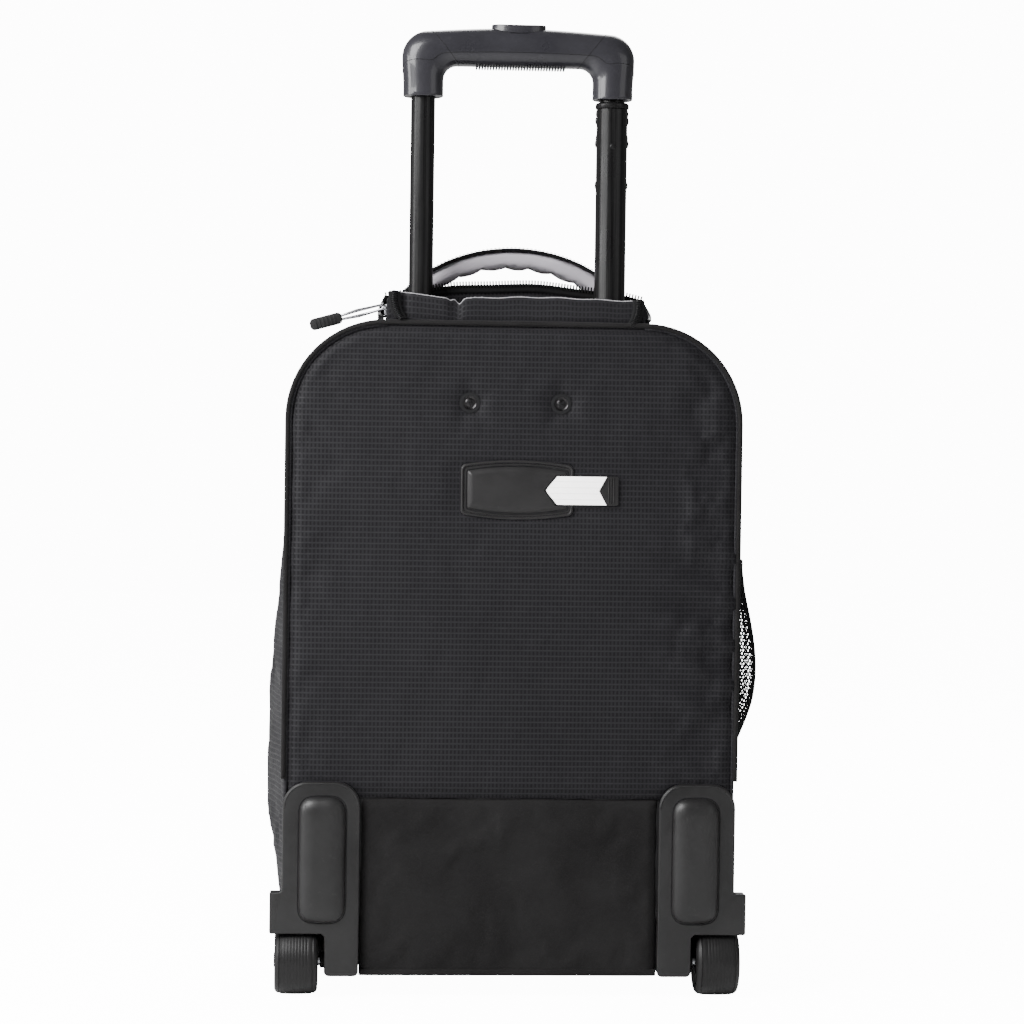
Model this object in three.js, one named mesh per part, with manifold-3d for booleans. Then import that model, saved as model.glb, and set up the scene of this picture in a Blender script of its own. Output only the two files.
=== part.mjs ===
// A rolling laptop case: a soft-sided case on two rear wheels and two front feet, with a
// three-stage telescopic handle in a bay along its back. Millimetres, +Z up, +X to the right
// when looking at the back of the case, and -Y out of its back. The origin is on the floor
// under the middle of the case. The handle stands part way up: the right middle stage is
// drawn out and the left one is still down.
import * as THREE from "three";
import { mergeVertices } from "three/addons/utils/BufferGeometryUtils.js";
import Module from "manifold-3d";

const wasm = await Module();
wasm.setup();

// ---- Driving dimensions ----
const CASE_WIDTH = 356;
const CASE_TOP = 531;
const CASE_FLOOR = 17; // underside of the tub, above the ground
const CORNER = 76; // radius of the two top corners
const SIDE_SWELL = 13; // how far the soft sides stand out beyond the case
const BACK_Y = -105; // outer face of the padded back
const FRONT_Y = 80; // front edge of the side walls
const PAD = 4; // thickness of the padded fabric walls
const BOARD = 2; // thickness of the stiff boards
const GAP = 0.4; // between pieces that lie against each other
const SEAM_DROP = 13; // seam of the plain lower panel, below the top of the wheel housings

const TUBE_INSET = 103; // middle of a handle tube, from the side of the case
const INNER_R = 9.5;
const TUBE_WALL = 1.2;
const MIDDLE_ROOM = 1.55; // radial room between the inner tube and the middle one
const OUTER_ROOM = 1.35; // and between the middle tube and the outer one
const TUBE_FIT = 0.35; // radial clearance of a bush round the tube that slides in it
const BAY_BACK_ROOM = 1.8; // between the outer tubes and the board behind them
const BAY_FRONT_ROOM = 2.2; // between the outer tubes and the cover in front of them
const COVER = 3; // thickness of that cover
const BASE_TOP = 80; // top of the block that the outer tubes stand on
const RAISED = 165; // how far the right middle stage and the grip stand up at rest
const STAGE_PROUD = 12; // a lowered middle stage stands this far above the case
const TUBE_REST = 23; // a lowered middle stage stops this far above the block
const GRIP_END = 17; // the grip's end, beyond the middle of a tube
const GRIP_DEPTH = 30;
const GRIP_HEIGHT = 30;
const SOCKET_DROP = 24;
const SOCKET_WALL = 6.3;
const BUTTON_LENGTH = 43;
const BUTTON_HALF_DEPTH = 8;
const BUTTON_TRAVEL = 4;
const ROD_R = 2.4;

const WHEEL_R = 27;
const WHEEL_WIDTH = 33;
const WHEEL_GAP = 5.5; // between a wheel and the leg beside it
const AXLE_R = 4;
const LEG_INSET = 35; // outer face of a housing leg, from the side of the case
const LEG_WIDTH = 25;
const HOUSING_TOP = 170;
const HOUSING_PROUD = 4; // how far the housing plate stands out of the back
const SKID_PROUD = 8; // how far the skid pad stands out of the housing plate

const HINGE_RISE = 37; // fold line of the front lid, above the underside of the tub
const POCKET_DEPTH = 29;
const POCKET_MARGIN = 28; // front pocket, from the sides of the case
const POCKET_DROP = 91; // its top, below the top of the case
const POCKET_CORNER = 38;
const SLEEVE_DEPTH = 36;
const SLEEVE_WALL = 5;
const SLEEVE_DROP = 201; // top of the laptop sleeve, below the top of the case
const NET_DROP = 186; // top of the mesh pocket, below the top of the case
const COLLAR_RISE = 22; // fabric walls round the handle, above the top of the case
const GRAB_INSET = 74; // ends of the grab handle, from the sides of the case
const GRAB_RISE = 60;
const GRAB_THICK = 14;
const TAG_DROP = 130; // middle of the name tag, below the top of the case
const SIDES = 24; // sides of a round piece

// ---- Worked out from them ----
const HALF = CASE_WIDTH / 2;
const SIDE_REACH = HALF + SIDE_SWELL;
const LOWER_PANEL_TOP = HOUSING_TOP - SEAM_DROP;
const BOARD_Y = BACK_Y + PAD + GAP;
const WALL_BACK_Y = BOARD_Y + BOARD + GAP;
const MIDDLE_R = INNER_R + TUBE_WALL + MIDDLE_ROOM;
const OUTER_R = MIDDLE_R + TUBE_WALL + OUTER_ROOM;
const SOCKET_R = INNER_R + SOCKET_WALL;
const TUBE_X = HALF - TUBE_INSET;
const HANDLE_Y = BOARD_Y + BOARD + BAY_BACK_ROOM + OUTER_R;
const BAY_FRONT_Y = HANDLE_Y + OUTER_R + BAY_FRONT_ROOM + COVER;
const MOUTH_HALF = TUBE_X + OUTER_R + 12.2; // half the width of the handle pocket's mouth
const LEG_OUTER_X = HALF - LEG_INSET;
const LEG_INNER_X = LEG_OUTER_X - LEG_WIDTH;
const WHEEL_X = LEG_OUTER_X + WHEEL_GAP + WHEEL_WIDTH / 2;
const WHEEL_Y = BACK_Y + WHEEL_R - 11;
const WELL_TOP = 2 * WHEEL_R + 4;
const WELL_FRONT_Y = WHEEL_Y + WHEEL_R + 6;
const TUB_CUT_Y = WELL_FRONT_Y + 2 * GAP;
const TUB_CUT_Z = WELL_TOP + 5;
const PLATE_Y = BACK_Y - HOUSING_PROUD;
const LOWERED_TOP = CASE_TOP + STAGE_PROUD; // top of a lowered middle stage
const STAGE_LENGTH = LOWERED_TOP - BASE_TOP - TUBE_REST;
const SOCKET_Z = LOWERED_TOP + RAISED + 2.6; // mouth of the grip's sockets
const GRIP_Z = SOCKET_Z + SOCKET_DROP; // underside of the grip bar
const SEAM_Z = GRIP_Z + 12.5; // joint between the two halves of the grip
const INNER_TOP = SEAM_Z - 6;
const INNER_BOTTOM = INNER_TOP - STAGE_LENGTH;
const HINGE_Z = CASE_FLOOR + HINGE_RISE;
const LID_BOTTOM = HINGE_Z + 2;
const POCKET_Y = FRONT_Y + GAP + PAD;
const SWELL_FOOT = TUB_CUT_Z + 25;

// ---- Materials ----
const finish = (color, roughness, metalness = 0) =>
  new THREE.MeshStandardMaterial({ color, roughness, metalness });
const RIPSTOP = finish(0x2c2c30, 0.75);
const PLAIN_FABRIC = finish(0x1f1e1f, 0.85);
const LINING = finish(0x8f8b95, 0.9);
const BOARD_BLACK = finish(0x151515, 0.7);
const MESH_BLACK = finish(0x101010, 0.8);
const HOUSING = finish(0x3d3c3d, 0.55);
const GRIP_PLASTIC = finish(0x3b3c41, 0.4);
const TUBE_FINISH = finish(0x1d1d1f, 0.35, 0.7);
const STEEL = finish(0xb8bbc0, 0.3, 1);
const TYRE = finish(0x2e2e2e, 0.7);
const RUBBER = finish(0x191919, 0.8);
const TAG_WHITE = finish(0xe6e6e6, 0.6);
const PATCH = finish(0x34333a, 0.7);

// ---- Solids ----
function solid(geometry) {
  const bare = geometry.index ? geometry.toNonIndexed() : geometry.clone();
  bare.deleteAttribute("normal");
  bare.deleteAttribute("uv");
  const merged = mergeVertices(bare, 1e-3);
  return new wasm.Manifold(
    new wasm.Mesh({
      numProp: 3,
      vertProperties: merged.attributes.position.array,
      triVerts: new Uint32Array(merged.index.array),
    }),
  );
}

function geometryOf(manifold) {
  const mesh = manifold.getMesh();
  return new THREE.BufferGeometry()
    .setAttribute("position", new THREE.BufferAttribute(mesh.vertProperties, 3))
    .setIndex(new THREE.BufferAttribute(mesh.triVerts, 1));
}

function join(...pieces) {
  return geometryOf(pieces.map(solid).reduce((whole, piece) => whole.add(piece)));
}

function cut(body, ...tools) {
  return geometryOf(tools.map(solid).reduce((left, tool) => left.subtract(tool), solid(body)));
}

function keep(body, tool) {
  return geometryOf(solid(body).intersect(solid(tool)));
}

function box(x0, x1, y0, y1, z0, z1) {
  return new THREE.BoxGeometry(x1 - x0, y1 - y0, z1 - z0).translate(
    (x0 + x1) / 2,
    (y0 + y1) / 2,
    (z0 + z1) / 2,
  );
}

// An outline drawn in X and Z, made solid from y0 to y1.
function slab(outline, y0, y1, curveSegments = 8) {
  return new THREE.ExtrudeGeometry(outline, { depth: y1 - y0, bevelEnabled: false, curveSegments })
    .rotateX(Math.PI / 2)
    .translate(0, y1, 0);
}

// An outline drawn in X and Z with rounded rims, from y0 to y1 over all.
function cushion(outline, y0, y1, round, curveSegments = 6) {
  return new THREE.ExtrudeGeometry(outline, {
    depth: y1 - y0 - 2 * round,
    bevelThickness: round,
    bevelSize: round,
    bevelOffset: -round,
    bevelSegments: 3,
    curveSegments,
  })
    .rotateX(Math.PI / 2)
    .translate(0, y1 - round, 0);
}

function polygon(points) {
  return new THREE.Shape(points.map(([x, y]) => new THREE.Vector2(x, y)));
}

function roundedBox(x0, x1, z0, z1, radius) {
  const shape = new THREE.Shape();
  shape.moveTo(x0 + radius, z0);
  shape.lineTo(x1 - radius, z0);
  shape.absarc(x1 - radius, z0 + radius, radius, -Math.PI / 2, 0, false);
  shape.lineTo(x1, z1 - radius);
  shape.absarc(x1 - radius, z1 - radius, radius, 0, Math.PI / 2, false);
  shape.lineTo(x0 + radius, z1);
  shape.absarc(x0 + radius, z1 - radius, radius, Math.PI / 2, Math.PI, false);
  shape.lineTo(x0, z0 + radius);
  shape.absarc(x0 + radius, z0 + radius, radius, Math.PI, 1.5 * Math.PI, false);
  return shape;
}

// The upright outline of the case, square below and with two round corners at the top.
function caseOutline(inset, bottom, top = CASE_TOP, radius = CORNER) {
  const side = HALF - inset;
  const shape = new THREE.Shape();
  shape.moveTo(-side, bottom);
  shape.lineTo(side, bottom);
  shape.lineTo(side, top - radius);
  shape.absarc(HALF - radius, top - radius, radius - inset, 0, Math.PI / 2, false);
  shape.lineTo(radius - HALF, top - inset);
  shape.absarc(radius - HALF, top - radius, radius - inset, Math.PI / 2, Math.PI, false);
  return shape;
}

// A turned solid about Z from [radius, height] points that close on themselves.
function turned(points, sides = SIDES) {
  const profile = [...points, points[0]].map(([r, z]) => new THREE.Vector2(r, z));
  return new THREE.LatheGeometry(profile, sides).rotateX(Math.PI / 2);
}

function ring(inner, outer, z0, z1, sides = SIDES) {
  return turned([[inner, z0], [outer, z0], [outer, z1], [inner, z1]], sides);
}

function post(radius, z0, z1, sides = SIDES) {
  return new THREE.CylinderGeometry(radius, radius, z1 - z0, sides)
    .rotateX(Math.PI / 2)
    .translate(0, 0, (z0 + z1) / 2);
}

// The same along X or Y.
const rodX = (radius, x0, x1, sides = SIDES) => post(radius, x0, x1, sides).rotateY(Math.PI / 2);
const rodY = (radius, y0, y1, sides = SIDES) =>
  post(radius, y0, y1, sides).rotateX(-Math.PI / 2);

const mirrored = (geometry) => {
  const copy = geometry.index ? geometry.toNonIndexed() : geometry.clone();
  copy.scale(-1, 1, 1);
  const p = copy.attributes.position;
  for (let i = 0; i < p.count; i += 3) {
    const [x, y, z] = [p.getX(i), p.getY(i), p.getZ(i)];
    p.setXYZ(i, p.getX(i + 1), p.getY(i + 1), p.getZ(i + 1));
    p.setXYZ(i + 1, x, y, z);
  }
  return copy;
};

// ---- The object ----
const laptopCase = new THREE.Group();

function add(name, geometry, material) {
  const mesh = new THREE.Mesh(geometry, material);
  mesh.name = name;
  laptopCase.add(mesh);
}

// Adds NAME_right as it is drawn, and NAME_left as its mirror image.
function addPair(name, geometry, material) {
  add(`${name}_right`, geometry, material);
  add(`${name}_left`, mirrored(geometry), material);
}

const SIDE_SIGN = { left: -1, right: 1 };

// ---- Back wall: padded fabric, a plain lower panel, a stiff board and the edge piping ----
const SCREW_X = TUBE_X - 39;
const SCREW_Z = CASE_TOP - 62;
const SCREW_HEAD_R = 6.2;
const SCREW_SHANK_R = 2;
const SCREW_HEAD = 3.6;

function backWall() {
  const screws = [-SCREW_X, SCREW_X];
  const hole = (radius) =>
    screws.map((x) => rodY(radius, BACK_Y - 9, BACK_Y + 30, 16).translate(x, 0, SCREW_Z));
  const bareTop = LOWER_PANEL_TOP + GAP;
  const panel = slab(caseOutline(GAP, bareTop), BACK_Y, BACK_Y + PAD, 10);
  add("back_panel", cut(panel, ...hole(SCREW_HEAD_R + GAP)), RIPSTOP);
  const lowerHalf = LEG_INNER_X - GAP;
  const lower = box(-lowerHalf, lowerHalf, BACK_Y, BACK_Y + PAD, CASE_FLOOR, LOWER_PANEL_TOP);
  add("lower_panel", lower, PLAIN_FABRIC);
  const boardTop = CASE_TOP - 11;
  const board = slab(
    caseOutline(PAD + GAP, TUB_CUT_Z, boardTop, CORNER - 11),
    BOARD_Y,
    BOARD_Y + BOARD,
    10,
  );
  add("back_board", cut(board, ...hole(SCREW_SHANK_R + GAP)), BOARD_BLACK);
  for (const [side, sign] of Object.entries(SIDE_SIGN)) {
    const head = rodY(SCREW_HEAD_R, BOARD_Y - GAP - SCREW_HEAD, BOARD_Y - GAP, 16);
    const shank = rodY(SCREW_SHANK_R, BOARD_Y - GAP - 1, BOARD_Y + 10, 12);
    const screw = join(head, shank).translate(sign * SCREW_X, 0, SCREW_Z);
    add(`back_screw_${side}`, screw, STEEL);
  }
}

// The edge cord follows the outline of the back, just outside the corner of the side walls.
const PIPING_R = PAD / 2;
const PIPING_STEP = 23; // length of one straight run of the cord

function piping() {
  const outline = caseOutline(-PIPING_R - 2 * GAP, HOUSING_TOP + 2);
  const points = outline.getPoints(7).map((p) => new THREE.Vector3(p.x, BACK_Y + PIPING_R, p.y));
  const route = new THREE.CurvePath();
  for (let i = 2; i < points.length; i += 1)
    route.add(new THREE.LineCurve3(points[i - 1], points[i]));
  route.add(new THREE.LineCurve3(points[points.length - 1], points[0]));
  const section = new THREE.Shape().absarc(0, 0, PIPING_R, 0, 2 * Math.PI, false);
  const tube = new THREE.ExtrudeGeometry(section, {
    steps: Math.round(route.getLength() / PIPING_STEP),
    extrudePath: route,
    curveSegments: 4,
  });
  add("back_piping", tube, PLAIN_FABRIC);
}

// ---- Tub: side walls, top wall, bottom board and the low front wall ----
function tub() {
  const arcs = CASE_TOP - CORNER;
  const shell = cut(
    slab(caseOutline(GAP, arcs - 20), WALL_BACK_Y, FRONT_Y, 8),
    slab(caseOutline(GAP + PAD, arcs - 30), WALL_BACK_Y - 1, FRONT_Y + 1, 8),
  );
  const crown = keep(shell, box(-HALF, HALF, WALL_BACK_Y, FRONT_Y, arcs + GAP, CASE_TOP));
  const mouth = box(-MOUTH_HALF, MOUTH_HALF, BACK_Y, BAY_FRONT_Y, arcs, CASE_TOP + 1);
  add("top_gusset", cut(crown, mouth), RIPSTOP);
  const wall = box(HALF - PAD - GAP, HALF - GAP, WALL_BACK_Y, FRONT_Y, CASE_FLOOR, arcs - GAP);
  const well = box(0, HALF + 20, BACK_Y - 9, TUB_CUT_Y, 0, TUB_CUT_Z);
  add("side_gusset_right", cut(wall, well), RIPSTOP);
  add("side_gusset_left", mirrored(cut(join(wall, wallBulge()), well)), RIPSTOP);
  const inside = HALF - PAD - 2 * GAP;
  const bottom = box(-inside, inside, WALL_BACK_Y, FRONT_Y, CASE_FLOOR, CASE_FLOOR + PAD);
  const corner = box(LEG_INNER_X - 2, HALF, BACK_Y, TUB_CUT_Y, 0, TUB_CUT_Z);
  add("bottom_board", cut(bottom, corner, mirrored(corner)), BOARD_BLACK);
  const kickTop = HINGE_Z - 2;
  const kick = box(-HALF + GAP, HALF - GAP, FRONT_Y + GAP, FRONT_Y + GAP + PAD, CASE_FLOOR, kickTop);
  add("front_kick_panel", kick, PLAIN_FABRIC);
}

// The left side stands out where the load fills it; on the right the pocket covers it.
function wallBulge() {
  const reach = SIDE_REACH + 2; // the curve itself stays inside its control point
  const top = CASE_TOP - SLEEVE_DROP;
  const widest = SWELL_FOOT + (top - SWELL_FOOT) * 0.48;
  const profile = new THREE.Shape();
  const inner = HALF - GAP - 2;
  profile.moveTo(inner, SWELL_FOOT);
  profile.lineTo(HALF - GAP, SWELL_FOOT);
  profile.quadraticCurveTo(reach, widest, HALF - GAP, top);
  profile.lineTo(inner, top);
  return slab(profile, BACK_Y + 35, FRONT_Y - 20, 8);
}

// ---- Handle bay ----
function handleBay() {
  const cover = slab(
    caseOutline(PAD + 2 * GAP, TUB_CUT_Z, CASE_TOP - PAD - 2 * GAP, CORNER - PAD),
    BAY_FRONT_Y - COVER,
    BAY_FRONT_Y,
  );
  add("frame_cover", cover, LINING);
  const baseHalf = TUBE_X + OUTER_R + 4;
  const seat = box(
    -baseHalf,
    baseHalf,
    HANDLE_Y - OUTER_R,
    HANDLE_Y + OUTER_R,
    BASE_TOP - 12,
    BASE_TOP,
  );
  const leg = (x) => box(x, x + 6, HANDLE_Y - 12, HANDLE_Y + 12, CASE_FLOOR + PAD + GAP, BASE_TOP - 11);
  add("tube_base", join(seat, leg(-baseHalf), leg(-3), leg(baseHalf - 6)), BOARD_BLACK);
  const outerTop = CASE_TOP - GAP;
  const outer = ring(OUTER_R - TUBE_WALL, OUTER_R, BASE_TOP + GAP, outerTop);
  addPair("outer_tube", outer.translate(TUBE_X, HANDLE_Y, 0), TUBE_FINISH);
  const bezelBar = box(
    -baseHalf,
    baseHalf,
    HANDLE_Y - OUTER_R,
    HANDLE_Y + OUTER_R,
    CASE_TOP,
    CASE_TOP + 6,
  );
  const holes = [-TUBE_X, TUBE_X].map((x) =>
    post(MIDDLE_R + TUBE_FIT, CASE_TOP - 1, CASE_TOP + 9).translate(x, HANDLE_Y, 0),
  );
  add("tube_bezel", cut(bezelBar, ...holes), GRIP_PLASTIC);
  const braceHalf = TUBE_X - OUTER_R - GAP;
  const braceY = BOARD_Y + BOARD + GAP;
  const brace = box(-braceHalf, braceHalf, braceY, braceY + 5, SCREW_Z - 9, SCREW_Z + 9);
  const bores = [-SCREW_X, SCREW_X].map((x) =>
    rodY(SCREW_SHANK_R + 0.3, braceY - 1, braceY + 20, 12).translate(x, 0, SCREW_Z),
  );
  add("cross_brace", cut(brace, ...bores), STEEL);
}

// The mouth of the bay between the two fabric walls of the handle pocket.
function handlePocket() {
  const half = MOUTH_HALF;
  const collarTop = CASE_TOP + COLLAR_RISE;
  const collar = box(-half, half, BOARD_Y, BOARD_Y + BOARD, CASE_TOP - 10, collarTop);
  add("pocket_collar", collar, RIPSTOP);
  const hood = new THREE.Shape();
  hood.moveTo(-half, CASE_TOP + GAP);
  hood.lineTo(half, CASE_TOP + GAP);
  hood.lineTo(half, collarTop - 1);
  hood.quadraticCurveTo(0, collarTop + 17, -half, collarTop - 1);
  add("pocket_hood", slab(hood, BAY_FRONT_Y - COVER, BAY_FRONT_Y - COVER + BOARD), RIPSTOP);
  const sliderX = -half - 2;
  const slider = box(sliderX, sliderX + 9, BOARD_Y + 3, BOARD_Y + 9.5, CASE_TOP + 5, CASE_TOP + 15);
  add("handle_zip_slider", slider, STEEL);
  // The pull lies out to the left over the corner of the case.
  const pinX = sliderX - 3;
  const link = polygon([[2, 2], [-36, 1.2], [-36, -1.2], [2, -2]]);
  const tip = roundedBox(-58, -32, -5, 5, 3);
  const pull = join(slab(link, -1.5, 1.5), slab(tip, -2.5, 2.5, 4));
  const placed = pull.rotateY(-0.22).translate(pinX, BOARD_Y + 6, CASE_TOP + 12);
  add("handle_zip_pull", placed, RUBBER);
}

// ---- Telescopic handle ----
// A stage's rim is a ring seat for the next stage down inside it.
function middleStage(top) {
  const foot = top - STAGE_LENGTH;
  const bush = OUTER_R - TUBE_WALL - TUBE_FIT;
  const inner = MIDDLE_R - TUBE_WALL;
  return turned([
    [inner, foot],
    [bush, foot],
    [bush, foot + 18],
    [MIDDLE_R, foot + 20],
    [MIDDLE_R, top - 5],
    [inner, top - 5],
  ]).translate(0, HANDLE_Y, 0);
}

function stageCap(top) {
  const cap = ring(INNER_R + TUBE_FIT, MIDDLE_R + 0.4, top - 5 + GAP, top);
  return cap.translate(0, HANDLE_Y, 0);
}

function innerStage() {
  const guide = MIDDLE_R - TUBE_WALL - TUBE_FIT;
  const bore = INNER_R - TUBE_WALL;
  const tube = turned([
    [0, INNER_BOTTOM],
    [guide, INNER_BOTTOM],
    [guide, INNER_BOTTOM + 14],
    [INNER_R, INNER_BOTTOM + 15],
    [INNER_R, INNER_TOP],
    [bore, INNER_TOP],
    [bore, INNER_BOTTOM + 14],
    [0, INNER_BOTTOM + 14],
  ]);
  const pinHole = rodX(2.4, -3, 20, 12).translate(0, 0, INNER_BOTTOM + 7);
  return cut(tube, pinHole).translate(TUBE_X, HANDLE_Y, 0);
}

function handle() {
  const tops = { left: LOWERED_TOP, right: LOWERED_TOP + RAISED };
  for (const [side, sign] of Object.entries(SIDE_SIGN)) {
    add(`middle_tube_${side}`, middleStage(tops[side]).translate(sign * TUBE_X, 0, 0), TUBE_FINISH);
    add(`middle_cap_${side}`, stageCap(tops[side]).translate(sign * TUBE_X, 0, 0), GRIP_PLASTIC);
  }
  addPair("inner_tube", innerStage(), TUBE_FINISH);
  const pin = rodX(2, 0, MIDDLE_R - TUBE_WALL - GAP, 12);
  addPair("lock_pin", pin.translate(TUBE_X, HANDLE_Y, INNER_BOTTOM + 7), STEEL);
  grip();
}

function grip() {
  const halfWidth = TUBE_X + GRIP_END;
  const halfDepth = GRIP_DEPTH / 2;
  const [backY, frontY] = [HANDLE_Y - halfDepth, HANDLE_Y + halfDepth];
  const bar = roundedBox(-halfWidth, halfWidth, GRIP_Z, GRIP_Z + GRIP_HEIGHT, 13);
  const whole = cushion(bar, backY, frontY, 7);
  const above = box(-halfWidth, halfWidth, backY - 9, frontY + 9, SEAM_Z + GAP / 2, SEAM_Z + 99);
  const below = box(-halfWidth, halfWidth, backY - 9, frontY + 9, 0, SEAM_Z - GAP / 2);
  const barHalf = TUBE_X + 5;
  const chamber = box(
    -barHalf - 1,
    barHalf + 1,
    HANDLE_Y - 5,
    HANDLE_Y + 5,
    SEAM_Z - 1,
    SEAM_Z + 5.5,
  );
  const buttonHalf = BUTTON_LENGTH / 2;
  const slot = box(
    -buttonHalf - GAP,
    buttonHalf + GAP,
    HANDLE_Y - BUTTON_HALF_DEPTH - GAP,
    HANDLE_Y + BUTTON_HALF_DEPTH + GAP,
    SEAM_Z - 1,
    SEAM_Z + 60,
  );
  add("grip_upper", cut(keep(whole, above), chamber, slot), GRIP_PLASTIC);

  const socket = post(SOCKET_R, SOCKET_Z, SEAM_Z - 1).translate(TUBE_X, HANDLE_Y, 0);
  const bore = post(INNER_R + GAP, SOCKET_Z - 1, INNER_TOP + GAP).translate(TUBE_X, HANDLE_Y, 0);
  const rodHole = post(ROD_R + GAP, SOCKET_Z, SEAM_Z + 1, 12).translate(TUBE_X, HANDLE_Y, 0);
  // The transfer bar drops into this trough as the button goes down.
  const trough = box(
    -barHalf - 1,
    barHalf + 1,
    HANDLE_Y - 5,
    HANDLE_Y + 5,
    SEAM_Z - BUTTON_TRAVEL,
    SEAM_Z + 1,
  );
  const springHole = post(6, GRIP_Z + 2.5, SEAM_Z + 1, 16).translate(0, HANDLE_Y, 0);
  const lower = join(keep(whole, below), socket, mirrored(socket));
  const cuts = [bore, mirrored(bore), rodHole, mirrored(rodHole), trough, springHole];
  add("grip_lower", cut(lower, ...cuts), GRIP_PLASTIC);

  const top = GRIP_Z + GRIP_HEIGHT;
  const cap = new THREE.Shape();
  const capFoot = SEAM_Z + BUTTON_TRAVEL + GAP;
  cap.moveTo(-buttonHalf, capFoot);
  cap.lineTo(buttonHalf, capFoot);
  cap.lineTo(buttonHalf, top - 2);
  cap.quadraticCurveTo(0, top + 9, -buttonHalf, top - 2);
  const capBack = HANDLE_Y - BUTTON_HALF_DEPTH;
  add("release_button", slab(cap, capBack, HANDLE_Y + BUTTON_HALF_DEPTH), GRIP_PLASTIC);
  const transfer = box(
    -barHalf,
    barHalf,
    HANDLE_Y - 4,
    HANDLE_Y + 4,
    SEAM_Z + 0.6,
    SEAM_Z + 3.1,
  );
  add("transfer_bar", transfer, STEEL);
  const springTop = SEAM_Z - BUTTON_TRAVEL - GAP;
  const spring = ring(3.5, 5.2, GRIP_Z + 2.5 + GAP, springTop, 16).translate(0, HANDLE_Y, 0);
  add("button_spring", spring, STEEL);
  const rod = post(ROD_R, INNER_BOTTOM + 22, SEAM_Z + 0.3, 12).translate(TUBE_X, HANDLE_Y, 0);
  addPair("push_rod", rod, STEEL);
}

// ---- Wheels and their housings, drawn for the right side ----
function wheels() {
  const rise = HOUSING_TOP - 18;
  const plate = new THREE.Shape();
  plate.moveTo(LEG_INNER_X, CASE_FLOOR);
  plate.lineTo(LEG_OUTER_X, CASE_FLOOR);
  plate.lineTo(LEG_OUTER_X, WELL_TOP);
  plate.lineTo(HALF + 6, WELL_TOP - 6);
  plate.lineTo(HALF + 7, WELL_TOP + 20);
  plate.lineTo(HALF + 1, WELL_TOP + 32);
  plate.lineTo(HALF + 1, rise);
  plate.absarc(HALF - 17, rise, 18, 0, Math.PI / 2, false);
  plate.lineTo(LEG_INNER_X + 18, HOUSING_TOP);
  plate.absarc(LEG_INNER_X + 18, rise, 18, Math.PI / 2, Math.PI, false);
  const face = slab(plate, PLATE_Y, BACK_Y - GAP, 5);
  const wellHalf = HALF + 4;
  const roof = box(LEG_INNER_X, wellHalf, PLATE_Y, WELL_FRONT_Y, WELL_TOP, WELL_TOP + 4.5);
  const leg = box(LEG_INNER_X, LEG_OUTER_X, PLATE_Y, WELL_FRONT_Y, CASE_FLOOR, WELL_TOP + 1);
  const wellWall = box(
    LEG_OUTER_X - 1,
    HALF - GAP,
    WELL_FRONT_Y - 3,
    WELL_FRONT_Y,
    CASE_FLOOR,
    WELL_TOP + 1,
  );
  const skidHalf = 18.5;
  const skidX = (LEG_INNER_X + HALF) / 2 - 0.4;
  const [skidFoot, skidTop] = [WELL_TOP + 1, HOUSING_TOP - 11];
  const skidShape = roundedBox(skidX - skidHalf, skidX + skidHalf, skidFoot, skidTop, 17);
  const skid = cushion(skidShape, PLATE_Y - SKID_PROUD, PLATE_Y + 6, 6.5, 4);
  const skidFront = keep(skid, box(0, HALF, PLATE_Y - 20, PLATE_Y + 1, 0, HOUSING_TOP));
  const axleHole = rodX(AXLE_R + GAP, LEG_INNER_X - 5, HALF + 40).translate(0, WHEEL_Y, WHEEL_R);
  const housing = cut(join(face, roof, leg, wellWall, skidFront), axleHole);
  addPair("wheel_housing", housing, HOUSING);

  const at = (geometry) => geometry.translate(0, WHEEL_Y, WHEEL_R);
  const inner = WHEEL_X - WHEEL_WIDTH / 2;
  const outer = WHEEL_X + WHEEL_WIDTH / 2;
  const axle = join(
    rodX(AXLE_R, LEG_INNER_X + 1, outer + 1, SIDES),
    rodX(7, outer + GAP, outer + 3, SIDES),
  );
  addPair("axle", at(axle), STEEL);
  const along = (geometry) => at(geometry.rotateY(Math.PI / 2));
  const spacer = ring(AXLE_R + GAP, 6.3, LEG_OUTER_X + GAP, inner - GAP);
  addPair("axle_spacer", along(spacer), BOARD_BLACK);
  const seat = 9; // depth of the bearing seat
  const core = turned([
    [11, inner + 1],
    [WHEEL_R - 7.4, inner + 1],
    [WHEEL_R - 7.4, outer - 1],
    [AXLE_R + GAP, outer - 1],
    [AXLE_R + GAP, inner + seat],
    [11, inner + seat],
  ]);
  addPair("wheel_core", along(core), HOUSING);
  const bearing = ring(AXLE_R + GAP, 11 - 0.3, inner + 1.2, inner + seat - 0.3);
  addPair("wheel_bearing", along(bearing), STEEL);
  const tyre = turned(
    [
      [WHEEL_R - 7, inner + 1],
      [WHEEL_R - 2.5, inner],
      [WHEEL_R - 0.5, inner + 3],
      [WHEEL_R, inner + 6],
      [WHEEL_R, outer - 6],
      [WHEEL_R - 0.5, outer - 3],
      [WHEEL_R - 2.5, outer],
      [WHEEL_R - 7, outer - 1],
    ],
    32,
  );
  addPair("tyre", along(tyre), TYRE);
}

function feet() {
  const footX = HALF - 58;
  const footY = FRONT_Y - 28;
  const foot = new THREE.CylinderGeometry(14, 11, CASE_FLOOR - GAP, SIDES)
    .rotateX(Math.PI / 2)
    .translate(footX, footY, (CASE_FLOOR - GAP) / 2);
  addPair("front_foot", foot, RUBBER);
}

// ---- Name tag in its holder ----
const TAG_Z = CASE_TOP - TAG_DROP;

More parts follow.
